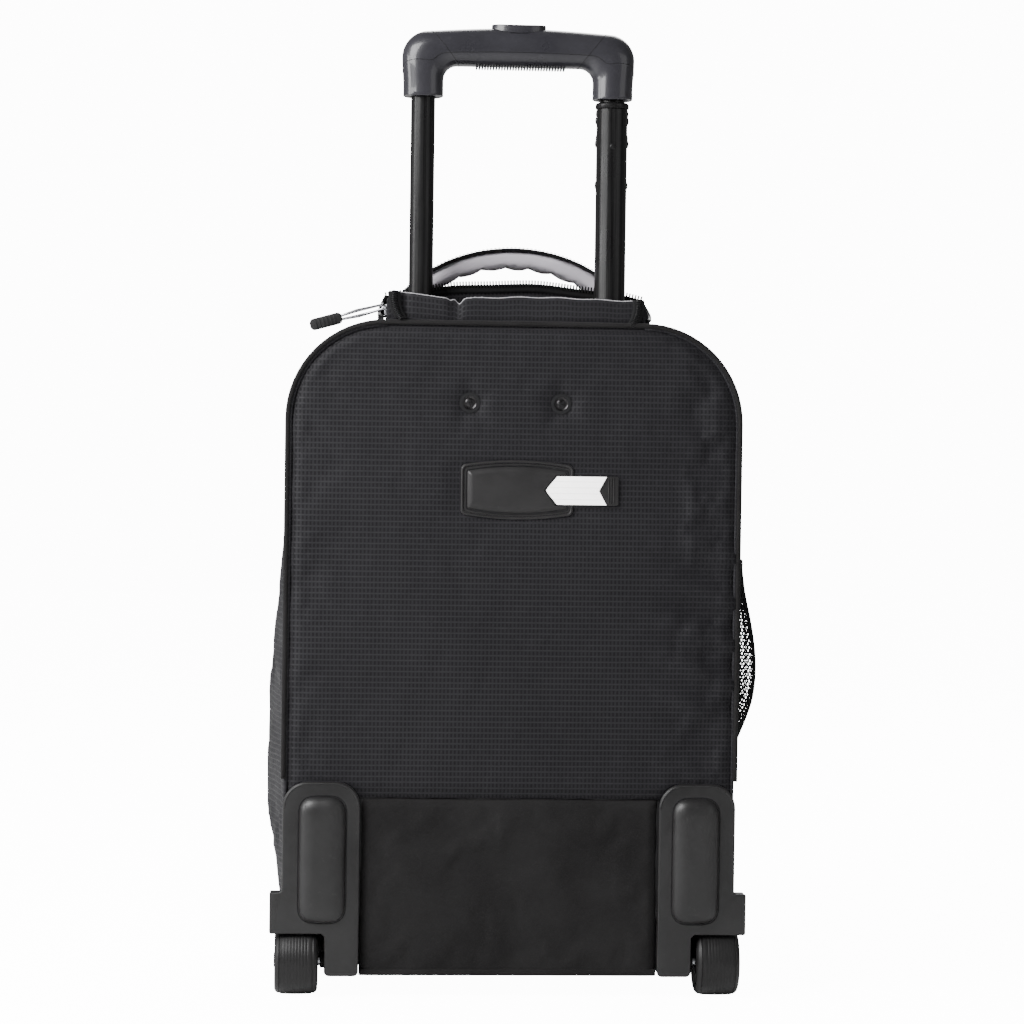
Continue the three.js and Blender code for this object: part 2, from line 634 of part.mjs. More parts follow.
function nameTag() {
  const [half, cornerHeight, middleHeight] = [44.3, 18, 23.5];
  const frame = new THREE.Shape();
  const middle = 2;
  const bow = 2 * middleHeight - cornerHeight;
  frame.moveTo(middle - half, TAG_Z - cornerHeight);
  frame.quadraticCurveTo(middle, TAG_Z - bow, middle + half, TAG_Z - cornerHeight);
  frame.lineTo(middle + half, TAG_Z + cornerHeight);
  frame.quadraticCurveTo(middle, TAG_Z + bow, middle - half, TAG_Z + cornerHeight);
  const faceY = BACK_Y - GAP - 3.4;
  const holder = slab(frame, faceY, BACK_Y - GAP, 6);
  const [tagHalf, tagEnd, tagTip] = [11.7, 82, 24];
  const slotY = faceY + 1;
  const slit = box(-36, tagEnd - 22, slotY, slotY + 1.8, TAG_Z - tagHalf - 0.5, TAG_Z + tagHalf + 0.5);
  const window = polygon([
    [tagTip, TAG_Z],
    [tagTip + 9, TAG_Z - tagHalf - 0.5],
    [tagEnd - 22, TAG_Z - tagHalf - 0.5],
    [tagEnd - 22, TAG_Z + tagHalf + 0.5],
    [tagTip + 9, TAG_Z + tagHalf + 0.5],
  ]);
  add("tag_holder", cut(holder, slit, slab(window, faceY - 1, slotY + 1)), PATCH);
  const tag = polygon([
    [-20, TAG_Z - tagHalf],
    [tagEnd, TAG_Z - tagHalf],
    [tagEnd, TAG_Z + tagHalf],
    [-20, TAG_Z + tagHalf],
  ]);
  add("name_tag", slab(tag, slotY + GAP, slotY + 1.4), TAG_WHITE);
}

// ---- Grab handle over the top ----
const GRAB_Y = BAY_FRONT_Y + 24;
const GRAB_HALF = HALF - GRAB_INSET;

function grabHandle() {
  const foot = CASE_TOP + 1;
  const [over, under] = [CASE_TOP + GRAB_RISE, CASE_TOP + GRAB_RISE - GRAB_THICK];
  const [outerPull, innerPull] = [GRAB_HALF * 0.33, GRAB_HALF * 0.29];
  const arch = new THREE.Shape();
  arch.moveTo(-GRAB_HALF, foot);
  arch.bezierCurveTo(-GRAB_HALF + 22, foot + 46, -outerPull, over, 0, over);
  arch.bezierCurveTo(outerPull, over, GRAB_HALF - 22, foot + 46, GRAB_HALF, foot);
  arch.lineTo(GRAB_HALF - 16, foot);
  arch.bezierCurveTo(GRAB_HALF - 34, foot + 34, innerPull, under, 0, under);
  arch.bezierCurveTo(-innerPull, under, -GRAB_HALF + 34, foot + 34, -GRAB_HALF + 16, foot);
  add("grab_handle", slab(arch, GRAB_Y - 18, GRAB_Y + 18, 9), LINING);
}

// ---- Mesh pocket on the right side, open at the top ----
function meshPocket() {
  const [y0, y1] = [BACK_Y + 33, FRONT_Y - 36];
  const wall = 1.6;
  const base = HALF;
  const [foot, top] = [HOUSING_TOP + 6, CASE_TOP - NET_DROP];
  const rise = top - foot;
  const outer = new THREE.Shape();
  outer.moveTo(base, foot);
  outer.quadraticCurveTo(SIDE_REACH, foot + rise * 0.14, SIDE_REACH, foot + rise * 0.355);
  outer.lineTo(SIDE_REACH, top - rise * 0.266);
  outer.lineTo(SIDE_REACH - 2, top);
  outer.lineTo(base, top);
  const pocket = slab(outer, y0, y1, 6);
  const room = box(base + wall, SIDE_REACH - 4, y0 + wall, y1 - wall, foot + rise * 0.18, top + 9);
  add("mesh_pocket", cut(pocket, room), MESH_BLACK);
}

// ---- Inside: padded laptop sleeve, open at the top ----
function laptopSleeve() {
  const y0 = BAY_FRONT_Y + GAP;
  const half = HALF - POCKET_MARGIN;
  const [foot, top] = [TUB_CUT_Z + 2, CASE_TOP - SLEEVE_DROP];
  const outer = box(-half, half, y0, y0 + SLEEVE_DEPTH, foot, top);
  const room = box(
    -half + SLEEVE_WALL,
    half - SLEEVE_WALL,
    y0 + SLEEVE_WALL,
    y0 + SLEEVE_DEPTH - SLEEVE_WALL,
    foot + SLEEVE_WALL,
    top + 10,
  );
  add("laptop_sleeve", cut(outer, room), LINING);
}

// ---- Front lid with its pocket ----
function frontLid() {
  add(
    "front_lid",
    slab(caseOutline(GAP, LID_BOTTOM), FRONT_Y + GAP, FRONT_Y + GAP + PAD, 8),
    RIPSTOP,
  );
  add(
    "lid_fold",
    rodX(1.4, -HALF + 4, HALF - 4, 10).translate(0, FRONT_Y + GAP + PAD / 2, HINGE_Z),
    PLAIN_FABRIC,
  );
  const y0 = POCKET_Y + GAP;
  const y1 = y0 + POCKET_DEPTH - GAP;
  const wall = 2.5;
  const [half, foot, top] = [HALF - POCKET_MARGIN, LID_BOTTOM + 6, CASE_TOP - POCKET_DROP];
  const outline = roundedBox(-half, half, foot, top, POCKET_CORNER);
  const block = cushion(outline, y0 - 8, y1, 8, 6);
  const trimmed = keep(block, box(-half, half, y0, y1 + 1, 0, top));
  const [roomHalf, roomFoot, roomTop] = [half - 3, foot + 3, top - 3];
  const roomOutline = roundedBox(-roomHalf, roomHalf, roomFoot, roomTop, POCKET_CORNER - 3);
  const hollow = cushion(roomOutline, y0 - 8, y1 - wall, 8, 6);
  const room = keep(hollow, box(-half, half, y0 + wall, y1, 0, top));
  const zipZ = top - 45;
  const mouth = box(25 - half, half - 25, y0 + 6, y1 + 5, zipZ - 3, zipZ + 3);
  add("front_pocket", cut(trimmed, room, mouth), RIPSTOP);
  const zipY = y1 + GAP;
  const pocketSlider = box(26 - half, 36 - half, zipY, zipY + 3.6, zipZ - 4, zipZ + 4);
  add("pocket_zip_slider", pocketSlider, STEEL);
}

// A slider of the main zip, on the straight run up the left side.
function mainZip() {
  const outer = -HALF - GAP;
  const y = FRONT_Y - 5;
  const z = SWELL_FOOT + 38;
  const body = box(outer - 5, outer, y - 4, y + 4, z - 6, z + 6);
  const tab = box(-SIDE_REACH, -SIDE_REACH + 3, y - 4, y + 4, z - 30, z + 4);
  const neck = box(-SIDE_REACH + 2, outer - 4, y - 2, y + 2, z - 4, z + 2);
  add("main_zip_slider", join(body, neck, tab), STEEL);
}

backWall();
piping();
tub();
handleBay();
handlePocket();
handle();
wheels();
feet();
nameTag();
grabHandle();
meshPocket();
laptopSleeve();
frontLid();
mainZip();

export default laptopCase;
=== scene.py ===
"""A rolling laptop case: soft goods, mouldings, handle, wheels and finishes around its CAD frame."""

from math import atan2, copysign, cos, exp, hypot, pi, radians, sin, sqrt

import bmesh
import bpy
from mathutils import Matrix, Vector, noise


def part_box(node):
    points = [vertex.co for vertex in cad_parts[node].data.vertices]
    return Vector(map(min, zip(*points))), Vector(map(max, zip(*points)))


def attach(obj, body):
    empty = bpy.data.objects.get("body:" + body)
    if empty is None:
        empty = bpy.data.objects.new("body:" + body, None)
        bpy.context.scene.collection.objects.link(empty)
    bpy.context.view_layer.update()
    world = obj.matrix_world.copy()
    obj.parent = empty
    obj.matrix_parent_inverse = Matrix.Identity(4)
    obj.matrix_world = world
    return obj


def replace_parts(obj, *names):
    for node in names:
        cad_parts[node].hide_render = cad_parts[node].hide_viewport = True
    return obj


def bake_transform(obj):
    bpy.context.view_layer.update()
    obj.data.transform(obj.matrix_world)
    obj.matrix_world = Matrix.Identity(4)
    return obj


bl_info = {"name": "Rolling laptop case", "version": (1, 0, 0), "blender": (4, 5, 0),
    "location": "3D View > Sidebar > Laptop case",
    "description": "Builds a soft rolling laptop case piece by piece", "category": "Object",}

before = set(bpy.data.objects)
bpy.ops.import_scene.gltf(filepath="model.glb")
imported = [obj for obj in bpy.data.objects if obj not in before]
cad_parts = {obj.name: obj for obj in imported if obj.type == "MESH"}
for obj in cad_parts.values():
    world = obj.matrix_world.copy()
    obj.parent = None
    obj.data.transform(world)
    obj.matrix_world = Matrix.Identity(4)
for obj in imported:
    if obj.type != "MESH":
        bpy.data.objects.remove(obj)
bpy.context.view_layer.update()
MM = 0.001
WELD = 1e-6
TAU = 2 * pi


def mm(*sizes):
    """Sizes in millimetres, as metres."""
    return tuple(size * MM for size in sizes)


# Places that the pieces share, from the frame.
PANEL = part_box("back_panel")
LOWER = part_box("lower_panel")
TOP_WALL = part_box("top_gusset")
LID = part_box("front_lid")
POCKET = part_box("front_pocket")
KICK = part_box("front_kick_panel")
HALF = PANEL[1].x
BACK_Y = PANEL[0].y
FRONT_Y = TOP_WALL[1].y
CASE_TOP = PANEL[1].z
CORNER = 76 * MM
ARC_Z = CASE_TOP - CORNER
ARC_X = HALF - CORNER
TUBE_X = (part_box("inner_tube_right")[0].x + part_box("inner_tube_right")[1].x) / 2
HANDLE_Y = (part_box("inner_tube_right")[0].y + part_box("inner_tube_right")[1].y) / 2
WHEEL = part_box("tyre_right")
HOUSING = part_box("wheel_housing_right")
GRIP_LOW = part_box("grip_lower")
GRIP_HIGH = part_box("grip_upper")
TAG_Z = 401 * MM
POCKET_ZIP_Z = 395 * MM
CLOTH = 2.6 * MM
STITCH = mm(2.2, 0.5, 0.5)
FINE_STITCH = mm(2.2, 0.5, 0.45)
INNER_TUBE = 9.5 * MM
MIDDLE_TUBE = 12.25 * MM
GLOW = 13.0
LENS = 107.33
CAMERA_PLACE = (-0.1609, -2.500, 0.4429)
CAMERA_TURNS = (-0.0664, -0.0247, 0.0141)
SCREWS = [(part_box(n)[0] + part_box(n)[1]) / 2 for n in ("back_screw_left", "back_screw_right")]


# ---------------------------------------------------------------- node helpers
class Nodes:
    """Short calls for building a node tree, laid out in columns."""

    def __init__(self, tree):
        self.tree = tree
        self.count = 0

    def add(self, kind, inputs=(), **settings):
        node = self.tree.nodes.new(kind)
        node.location = (180 * (self.count % 12), -220 * (self.count // 12))
        self.count += 1
        for key, value in settings.items():
            setattr(node, key, value)
        for key, value in dict(inputs).items():
            self.put(node.inputs[key], value)
        return node

    def out(self, kind, **inputs):
        """The first output of a node."""
        return self.add(kind, inputs).outputs[0]

    def put(self, socket, value):
        if isinstance(value, bpy.types.NodeSocket):
            self.tree.links.new(value, socket)
        else:
            socket.default_value = value

    def feed(self, name, value):
        """Links a value to the surface shader."""
        self.put(self.tree.nodes["Principled BSDF"].inputs[name], value)

    def math(self, operation, a, b=0.0, c=0.0):
        node = self.add("ShaderNodeMath", operation=operation)
        for socket, value in zip(node.inputs, (a, b, c)):
            self.put(socket, value)
        return node.outputs[0]

    def parts(self, vector):
        return self.add("ShaderNodeSeparateXYZ", {"Vector": vector}).outputs

    def ramp(self, value, low, high, to_low=0.0, to_high=1.0):
        node = self.add("ShaderNodeMapRange", interpolation_type="SMOOTHSTEP")
        for key, item in zip(("Value", "From Min", "From Max", "To Min", "To Max"),
                (value, low, high, to_low, to_high)):
            self.put(node.inputs[key], item)
        return node.outputs["Result"]

    def mix(self, factor, a, b):
        node = self.add("ShaderNodeMix", data_type="RGBA")
        for index, item in ((0, factor), (6, a), (7, b)):
            self.put(node.inputs[index], item)
        return node.outputs[2]

    def noise(self, coordinates, scale, detail=3.0, roughness=0.5):
        node = self.add("ShaderNodeTexNoise")
        for key, item in (("Vector", coordinates), ("Scale", scale), ("Detail", detail),
                ("Roughness", roughness)):
            self.put(node.inputs[key], item)
        return node.outputs["Fac"]


def rgba(color):
    return (*color[:3], 1.0)


def lighter(color, share):
    return rgba([c + (1 - c) * share for c in color[:3]])


def darker(color, share):
    return rgba([c * (1 - share) for c in color[:3]])


def mottled(tree, pattern, color, dark, light):
    """The colour, darker and lighter by small shares where a noise is low and high."""
    return tree.mix(tree.ramp(pattern, 0.3, 0.7), darker(color, dark), lighter(color, light))


def new_material(name, color, roughness, **sockets):
    """A material with its Principled shader, its nodes helper and its object coordinates."""
    made = bpy.data.materials.new(name)
    made.use_nodes = True
    tree = Nodes(made.node_tree)
    shader = made.node_tree.nodes["Principled BSDF"]
    shader.inputs["Base Color"].default_value = rgba(color)
    shader.inputs["Roughness"].default_value = roughness
    for key, value in sockets.items():
        shader.inputs[key.replace("_", " ")].default_value = value
    place = tree.add("ShaderNodeTexCoord").outputs["Object"]
    return made, tree, shader, place


def bump(tree, shader, height, strength, distance):
    node = tree.add("ShaderNodeBump")
    tree.put(node.inputs["Height"], height)
    node.inputs["Strength"].default_value = strength
    node.inputs["Distance"].default_value = distance
    tree.tree.links.new(node.outputs["Normal"], shader.inputs["Normal"])


# ---------------------------------------------------------------- finishes
def woven(name, color, cell, thread, sheen=0.05, roughness=0.66, contrast=1.0):
    """Cloth with rows of dark ticks between fine raised threads. Reads the cloth UV, in metres."""
    made, tree, shader, place = new_material(name, color, roughness, Sheen_Weight=sheen,
        Sheen_Roughness=0.45, Specular_IOR_Level=0.2)
    u, v, _ = tree.parts(tree.add("ShaderNodeUVMap", uv_map="cloth").outputs["UV"])
    tall = cell * 1.43
    across = tree.math("PINGPONG", u, cell / 2)
    along = tree.math("PINGPONG", v, tall / 2)
    ticks = tree.math("MULTIPLY", tree.ramp(across, cell * 0.22, cell * 0.34),
        tree.ramp(along, tall * 0.14, tall * 0.24))
    threads = tree.ramp(along, tall * 0.04, tall * 0.12, 1.0, 0.0)
    weave_u = tree.math("SINE", tree.math("MULTIPLY", u, TAU / thread))
    weave_v = tree.math("SINE", tree.math("MULTIPLY", v, TAU / thread))
    weave = tree.math("MULTIPLY", weave_u, weave_v)
    cloudy = tree.noise(place, 9.0, 4.0)
    fuzz = tree.noise(place, 1300.0, 2.0)
    shade = mottled(tree, cloudy, color, 0.10, 0.003)
    heather = tree.mix(tree.ramp(fuzz, 0.35, 0.75, 0.0, 0.4), shade, lighter(color, 0.008))
    rows = tree.mix(tree.math("MULTIPLY", threads, 0.8 * contrast), heather, lighter(color, 0.013))
    tree.feed("Base Color",
        tree.mix(tree.math("MULTIPLY", ticks, 0.9 * contrast), rows, darker(color, 0.62)))
    height = tree.math("MULTIPLY_ADD", threads, 0.7, tree.math("MULTIPLY", weave, 0.25))
    height = tree.math("MULTIPLY_ADD", ticks, -0.6, height)
    bump(tree, shader, height, 0.55, 0.25 * MM)
    tree.feed("Roughness", tree.ramp(ticks, 0, 1, roughness - 0.06, roughness + 0.12))
    return made


def plain_cloth(name, color, thread=0.9 * MM, roughness=0.85):
    """A matt cloth of a fine diagonal weave."""
    made, tree, shader, place = new_material(name, color, roughness, Sheen_Weight=0.03,
        Specular_IOR_Level=0.12)
    u, v, _ = tree.parts(tree.add("ShaderNodeUVMap", uv_map="cloth").outputs["UV"])
    one = tree.math("SINE", tree.math("MULTIPLY", tree.math("ADD", u, v), TAU / thread))
    two = tree.math("SINE", tree.math("MULTIPLY", tree.math("SUBTRACT", u, v), TAU / (3 * thread)))
    cloudy = tree.noise(place, 14.0, 4.0)
    fuzz = tree.noise(place, 1500.0, 2.0)
    shade = mottled(tree, cloudy, color, 0.2, 0.004)
    tree.feed("Base Color", tree.mix(tree.ramp(fuzz, 0.4, 0.8, 0.0, 0.5), shade, lighter(color, 0.012)))
    bump(tree, shader, tree.math("MULTIPLY_ADD", two, 0.4, one), 0.35, 0.12 * MM)
    return made


def moulded(name, color, roughness, grain=0.6, coat=0.0, rub=0.05, specular=0.3):
    """Moulded plastic or rubber with a fine grain and lighter rubbed places."""
    made, tree, shader, place = new_material(name, color, roughness, Coat_Weight=coat,
        Specular_IOR_Level=specular)
    fine = tree.noise(place, 2600.0, 2.0)
    cloudy = tree.noise(place, 22.0, 5.0, 0.6)
    scuffs = tree.noise(place, 210.0, 6.0, 0.7)
    worn = tree.ramp(scuffs, 0.60, 0.72, 0.0, 1.0)
    shade = mottled(tree, cloudy, color, 0.10, 0.004)
    tree.feed("Base Color", tree.mix(tree.math("MULTIPLY", worn, 0.6), shade, lighter(color, rub * 0.5)))
    tree.feed("Roughness", tree.ramp(cloudy, 0.25, 0.75, roughness - 0.05, roughness + 0.07))
    bump(tree, shader, fine, grain, 0.05 * MM)
    return made


def drawn(name, color, roughness, streaks, smudges, shades, height, **sockets):
    """Metal with lengthwise streaks (stretch, scale, detail), smudges (scale, rise) and two shades."""
    made, tree, shader, place = new_material(name, color, roughness, **sockets)
    stretch, scale, detail = streaks
    mapped = tree.add("ShaderNodeMapping", {"Vector": place, "Scale": (1.0, 1.0, stretch)}).outputs[0]
    marks = tree.noise(mapped, scale, detail)
    worn = tree.noise(place, smudges[0], 4.0)
    tree.feed("Roughness", tree.ramp(worn, 0.3, 0.7, roughness - 0.05, roughness + smudges[1]))
    tree.feed("Base Color", mottled(tree, marks, color, *shades))
    bump(tree, shader, marks, height, 0.02 * MM)
    return made


def metal(name, color, roughness, brushed=0.0):
    """Turned or brushed metal."""
    return drawn(name, color, roughness, (0.03, 1800.0, 2.0), (60.0, 0.08), (0.12, 0.03), 0.15 + brushed,
        Metallic=1.0)


def satin_tube(name, color, roughness):
    """Dark anodised tube with faint draw marks."""
    return drawn(name, color, roughness, (0.01, 900.0, 3.0), (35.0, 0.06), (0.25, 0.01), 0.12,
        Coat_Weight=0.02, Coat_Roughness=0.18, Specular_IOR_Level=0.17)


def tag_card(name, color, low, high):
    """A white card with four fine ruled lines between two heights. It glows though it is no lamp: its
    emission is painted light, weaker along the lines.
    """
    # Painted light: the card is given a glow of its own, set here and fed below.
    made, tree, shader, place = new_material(name, color, 0.45, Emission_Strength=1.0)
    shader.inputs["Emission Color"].default_value = (1.0, 0.98, 0.97, 1)
    _, _, z = tree.parts(place)
    pitch = (high - low) / 5
    rise = tree.math("SUBTRACT", z, low)
    line = tree.ramp(tree.math("PINGPONG", tree.math("ADD", rise, pitch / 2), pitch / 2), pitch * 0.45,
        pitch * 0.48)
    paper = tree.noise(place, 500.0, 3.0)
    sheet = mottled(tree, paper, color, 0.04, 0.2)
    tree.feed("Base Color", tree.mix(tree.math("MULTIPLY", line, 0.45), sheet, (0.45, 0.45, 0.47, 1)))
    # Painted light: the glow is strong on the card and weaker along its ruled lines.
    tree.feed("Emission Strength", tree.math("MULTIPLY_ADD", line, -1.3, 2.6))
    bump(tree, shader, paper, 0.1, 0.02 * MM)
    return made


def make_finishes(s):
    """Every finish by name, in the order that they are used."""
    low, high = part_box("name_tag")
    ripstop = woven("ripstop", s.fabric_color, s.ripstop_cell, 0.7 * MM, contrast=s.ripstop_contrast)
    return {"ripstop": ripstop, "plain": plain_cloth("plain_cloth", s.lower_color),
        "lining": plain_cloth("grey_lining", s.lining_color, 1.3 * MM),
        "sleeve": woven("sleeve_lining", (0.075, 0.073, 0.080), 5 * MM, 1.0 * MM, contrast=0.6),
        "inside": woven("inside_lining", (0.03, 0.03, 0.034), 6 * MM, 1.1 * MM, contrast=0.5),
        "tape": plain_cloth("zip_tape", (0.006, 0.006, 0.0065), 1.1 * MM, 0.8),
        "edge": plain_cloth("raw_edge", (0.42, 0.41, 0.43), 0.6 * MM, 0.9),
        "thread": plain_cloth("thread", (0.012, 0.0118, 0.013), 0.5 * MM, 0.7),
        "net": plain_cloth("net_yarn", (0.005, 0.005, 0.0055), 0.5 * MM, 0.75),
        "board": moulded("stiff_board", (0.007, 0.007, 0.0075), 0.6, 0.5),
        "housing": moulded("housing_plastic", s.housing_color, 0.43, 0.7, rub=0.03, specular=0.42),
        "grip": moulded("grip_plastic", s.grip_color, 0.31, 0.35, 0.3, rub=0.03),
        # Painted shade: groove_shadow is a near-black finish for thin pieces laid in grooves, seams and
        # recesses, standing for the shade there.
        "groove": moulded("groove_shadow", (0.006, 0.006, 0.007), 0.8, 0.2),
        "patch": moulded("patch_vinyl", (0.0165, 0.0158, 0.0163), 0.42, 0.8, rub=0.02),
        "tube": satin_tube("tube_satin", s.tube_color, 0.30),
        "tyre": moulded("tyre_rubber", (0.0086, 0.0083, 0.0086), 0.48, 0.5, rub=0.03),
        "rubber": moulded("soft_rubber", (0.0075, 0.0075, 0.008), 0.6, 0.6, rub=0.03),
        "teeth": moulded("zip_teeth", (0.006, 0.006, 0.0065), 0.3, 0.1, rub=0.08),
        "steel": metal("steel", (0.52, 0.53, 0.55), 0.26, 0.2),
        "screw": metal("blackened_screw", (0.020, 0.019, 0.020), 0.34, 0.1),
        "zinc": metal("slider_zinc", (0.50, 0.50, 0.53), 0.22),
        "card": tag_card("tag_card", s.tag_color, low.z, high.z),}


FINISH = {}


# ---------------------------------------------------------------- mesh helpers
def cloth_uv(mesh):
    """A UV in metres from the way that each face looks."""
    layer = mesh.uv_layers.new(name="cloth")
    for polygon in mesh.polygons:
        normal = polygon.normal
        size = [abs(c) for c in normal]
        for loop in polygon.loop_indices:
            p = mesh.vertices[mesh.loops[loop].vertex_index].co
            if size[1] >= max(size[0], size[2]):
                layer.data[loop].uv = (p.x, p.z)
            elif size[0] >= size[2]:
                layer.data[loop].uv = (p.y, p.z)
            else:
                layer.data[loop].uv = (p.x, p.y)


def linked(name, data, finish=None):
    """A scene object for a mesh or curve, in its finish."""
    if finish:
        data.materials.append(FINISH[finish])
    made = bpy.data.objects.new(name, data)
    bpy.context.collection.objects.link(made)
    return made


def make_object(name, verts, faces, finish):
    mesh = bpy.data.meshes.new(name)
    mesh.from_pydata([tuple(v) for v in verts], [], faces)
    mesh.validate()
    mesh.polygons.foreach_set("use_smooth", [True] * len(mesh.polygons))
    return linked(name, mesh, finish)


def from_work(name, work, finish, degrees=32):
    """A finished piece from a bmesh, smooth but for its sharp edges."""
    mesh = bpy.data.meshes.new(name)
    work.to_mesh(mesh)
    work.free()
    return sharp_edges(settle(linked(name, mesh, finish)), degrees)


def modify(obj, kind, **settings):
    modifier = obj.modifiers.new(kind.title(), kind)
    for key, value in settings.items():
        setattr(modifier, key, value)
    return modifier


def settle(obj, uv=True):
    """Turns the modifiers into plain mesh and gives it a cloth UV if it has none."""
    if obj.modifiers:
        view = bpy.context.evaluated_depsgraph_get()
        view.update()
        mesh = bpy.data.meshes.new_from_object(obj.evaluated_get(view))
        obj.modifiers.clear()
        old = obj.data
        obj.data = mesh
        bpy.data.meshes.remove(old)
        obj.data.name = obj.name
    if uv and "cloth" not in obj.data.uv_layers:
        cloth_uv(obj.data)
    return obj


def reworked(obj, change):
    """Lets change(bmesh) edit the mesh of an object."""
    work = bmesh.new()
    work.from_mesh(obj.data)
    change(work)
    work.to_mesh(obj.data)
    work.free()
    return obj


def outward(obj, slivers=False):
    """Merges doubles, drops slivers if asked and turns every face of a closed mesh outwards."""
    def clean(work):
        bmesh.ops.remove_doubles(work, verts=work.verts, dist=WELD)
        if slivers:
            bmesh.ops.dissolve_degenerate(work, edges=work.edges, dist=WELD / 10)
        bmesh.ops.recalc_face_normals(work, faces=work.faces)

    return reworked(obj, clean)


def surface(name, place, columns, rows, finish, thickness=0.0, keep=None, uv=None, inner=None):
    """A sheet from place(column, row), less faces that keep(point) refuses, thickened inwards and lined."""
    verts = [Vector(place(c, r)) for r in rows for c in columns]
    wide = len(columns)
    faces = []
    for r in range(len(rows) - 1):
        for c in range(wide - 1):
            at = r * wide + c
            quad = (at, at + 1, at + 1 + wide, at + wide)
            middle = sum((verts[i] for i in quad), Vector()) / 4
            if keep is None or keep(middle):
                faces.append(quad)
    made = make_object(name, verts, faces, finish)
    if uv:
        layer = made.data.uv_layers.new(name="cloth")
        flat = [uv(c, r) for r in rows for c in columns]
        for loop in made.data.loops:
            layer.data[loop.index].uv = flat[loop.vertex_index]
    reworked(made, lambda work: bmesh.ops.delete(work, geom=[v for v in work.verts if not v.link_faces],
        context="VERTS"))
    if thickness:
        if inner:
            made.data.materials.append(FINISH[inner])
        modify(made, "SOLIDIFY", thickness=thickness, offset=-1.0, material_offset=1 if inner else 0)
    return settle(made)


def spaced(low, high, count):
    return [low + (high - low) * i / (count - 1) for i in range(count)]


def turned(name, profile, finish, axis="Z", at=(0, 0, 0), sides=64):
    """A turned piece from (radius, height) points along an axis, closed on the axis or as a ring."""
    verts, faces = [], []
    count = len(profile)
    for k in range(sides):
        angle = TAU * k / sides
        for radius, height in profile:
            verts.append(Vector((radius * cos(angle), radius * sin(angle), height)))
    for k in range(sides):
        following = (k + 1) % sides
        for i in range(count):
            j = (i + 1) % count
            if j == 0 and profile[0][0] == 0 and profile[-1][0] == 0:
                continue
            faces.append((k * count + i, following * count + i, following * count + j, k * count + j))
    turn = {"Z": Matrix.Identity(4), "X": Matrix.Rotation(pi / 2, 4, "Y"),
        "Y": Matrix.Rotation(-pi / 2, 4, "X")}[axis]
    verts = [turn @ v + Vector(at) for v in verts]
    return sharp_edges(outward(make_object(name, verts, faces, finish), True))


def sharp_edges(obj, degrees=32):
    """Smooth faces that break at edges sharper than the angle."""
    obj.data.polygons.foreach_set("use_smooth", [True] * len(obj.data.polygons))
    obj.data.set_sharp_from_angle(angle=radians(degrees))
    return obj


def ring_faces(rings, around):
    """Faces between rings of points that follow one another, closed round."""
    return [(r * around + k, r * around + (k + 1) % around, (r + 1) * around + (k + 1) % around,
        (r + 1) * around + k) for r in range(rings - 1) for k in range(around)]


def lofted(name, verts, around, finish):
    """A closed piece from rings of points, capped at both ends."""
    count = len(verts)
    faces = ring_faces(count // around, around)
    faces += [tuple(range(around)), tuple(reversed(range(count - around, count)))]
    return sharp_edges(settle(outward(make_object(name, verts, faces, finish))), 60)


def arc(cx, cz, radius, start, end, steps):
    """Points on an arc, in degrees."""
    return [(cx + radius * cos(radians(a)), cz + radius * sin(radians(a)))
        for a in spaced(start, end, steps + 1)]


def rounded(x0, x1, z0, z1, radius, steps=8):
    return (arc(x1 - radius, z0 + radius, radius, -90, 0, steps) + arc(x1 - radius, z1 - radius, radius, 0,
        90, steps) + arc(x0 + radius, z1 - radius, radius, 90, 180, steps) + arc(x0 + radius, z0 + radius,
        radius, 180, 270, steps))


def carve(obj, cutter):
    """Takes one closed mesh out of another."""
    modifier = modify(obj, "BOOLEAN")
    modifier.operation, modifier.solver, modifier.object = "DIFFERENCE", "EXACT", cutter
    settle(obj)
    bpy.data.objects.remove(cutter)
    return obj


def block(name, outline, y0, y1, finish, bevel=0.0, segments=3, skip=None):
    """An outline in X and Z made solid from y0 to y1, with rounded rims unless skip(point) is true."""
    work = bmesh.new()
    front = [work.verts.new((x, y0, z)) for x, z in outline]
    back = [work.verts.new((x, y1, z)) for x, z in outline]
    count = len(outline)
    work.faces.new(front)
    work.faces.new(list(reversed(back)))
    for i in range(count):
        j = (i + 1) % count
        work.faces.new((front[j], front[i], back[i], back[j]))
    bmesh.ops.recalc_face_normals(work, faces=work.faces)
    if bevel:
        rims = []
        for edge in work.edges:
            a, b = (v.co for v in edge.verts)
            level = abs(a.y - b.y) < 1e-9
            if level and not (skip and skip((a + b) / 2)):
                rims.append(edge)
        bmesh.ops.bevel(work, geom=rims, offset=bevel, segments=segments, profile=0.5, affect="EDGES",
            clamp_overlap=True)
    return from_work(name, work, finish)


def brick(name, low, high, finish, bevel=0.6 * MM, segments=2):
    """A box between two corners with every edge rounded."""
    work = bmesh.new()
    bmesh.ops.create_cube(work, size=1.0)
    low, high = Vector(low), Vector(high)
    for v in work.verts:
        v.co = Vector([low[i] + (v.co[i] + 0.5) * (high[i] - low[i]) for i in range(3)])
    bmesh.ops.bevel(work, geom=work.edges[:], offset=bevel, segments=segments, profile=0.5, affect="EDGES",
        clamp_overlap=True)
    return from_work(name, work, finish)


def ellipsoid(name, centre, size, finish, subdivisions=3):
    work = bmesh.new()
    bmesh.ops.create_icosphere(work, subdivisions=subdivisions, radius=1.0)
    for v in work.verts:
        v.co = Vector([centre[i] + v.co[i] * size[i] for i in range(3)])
    return from_work(name, work, finish, 80)


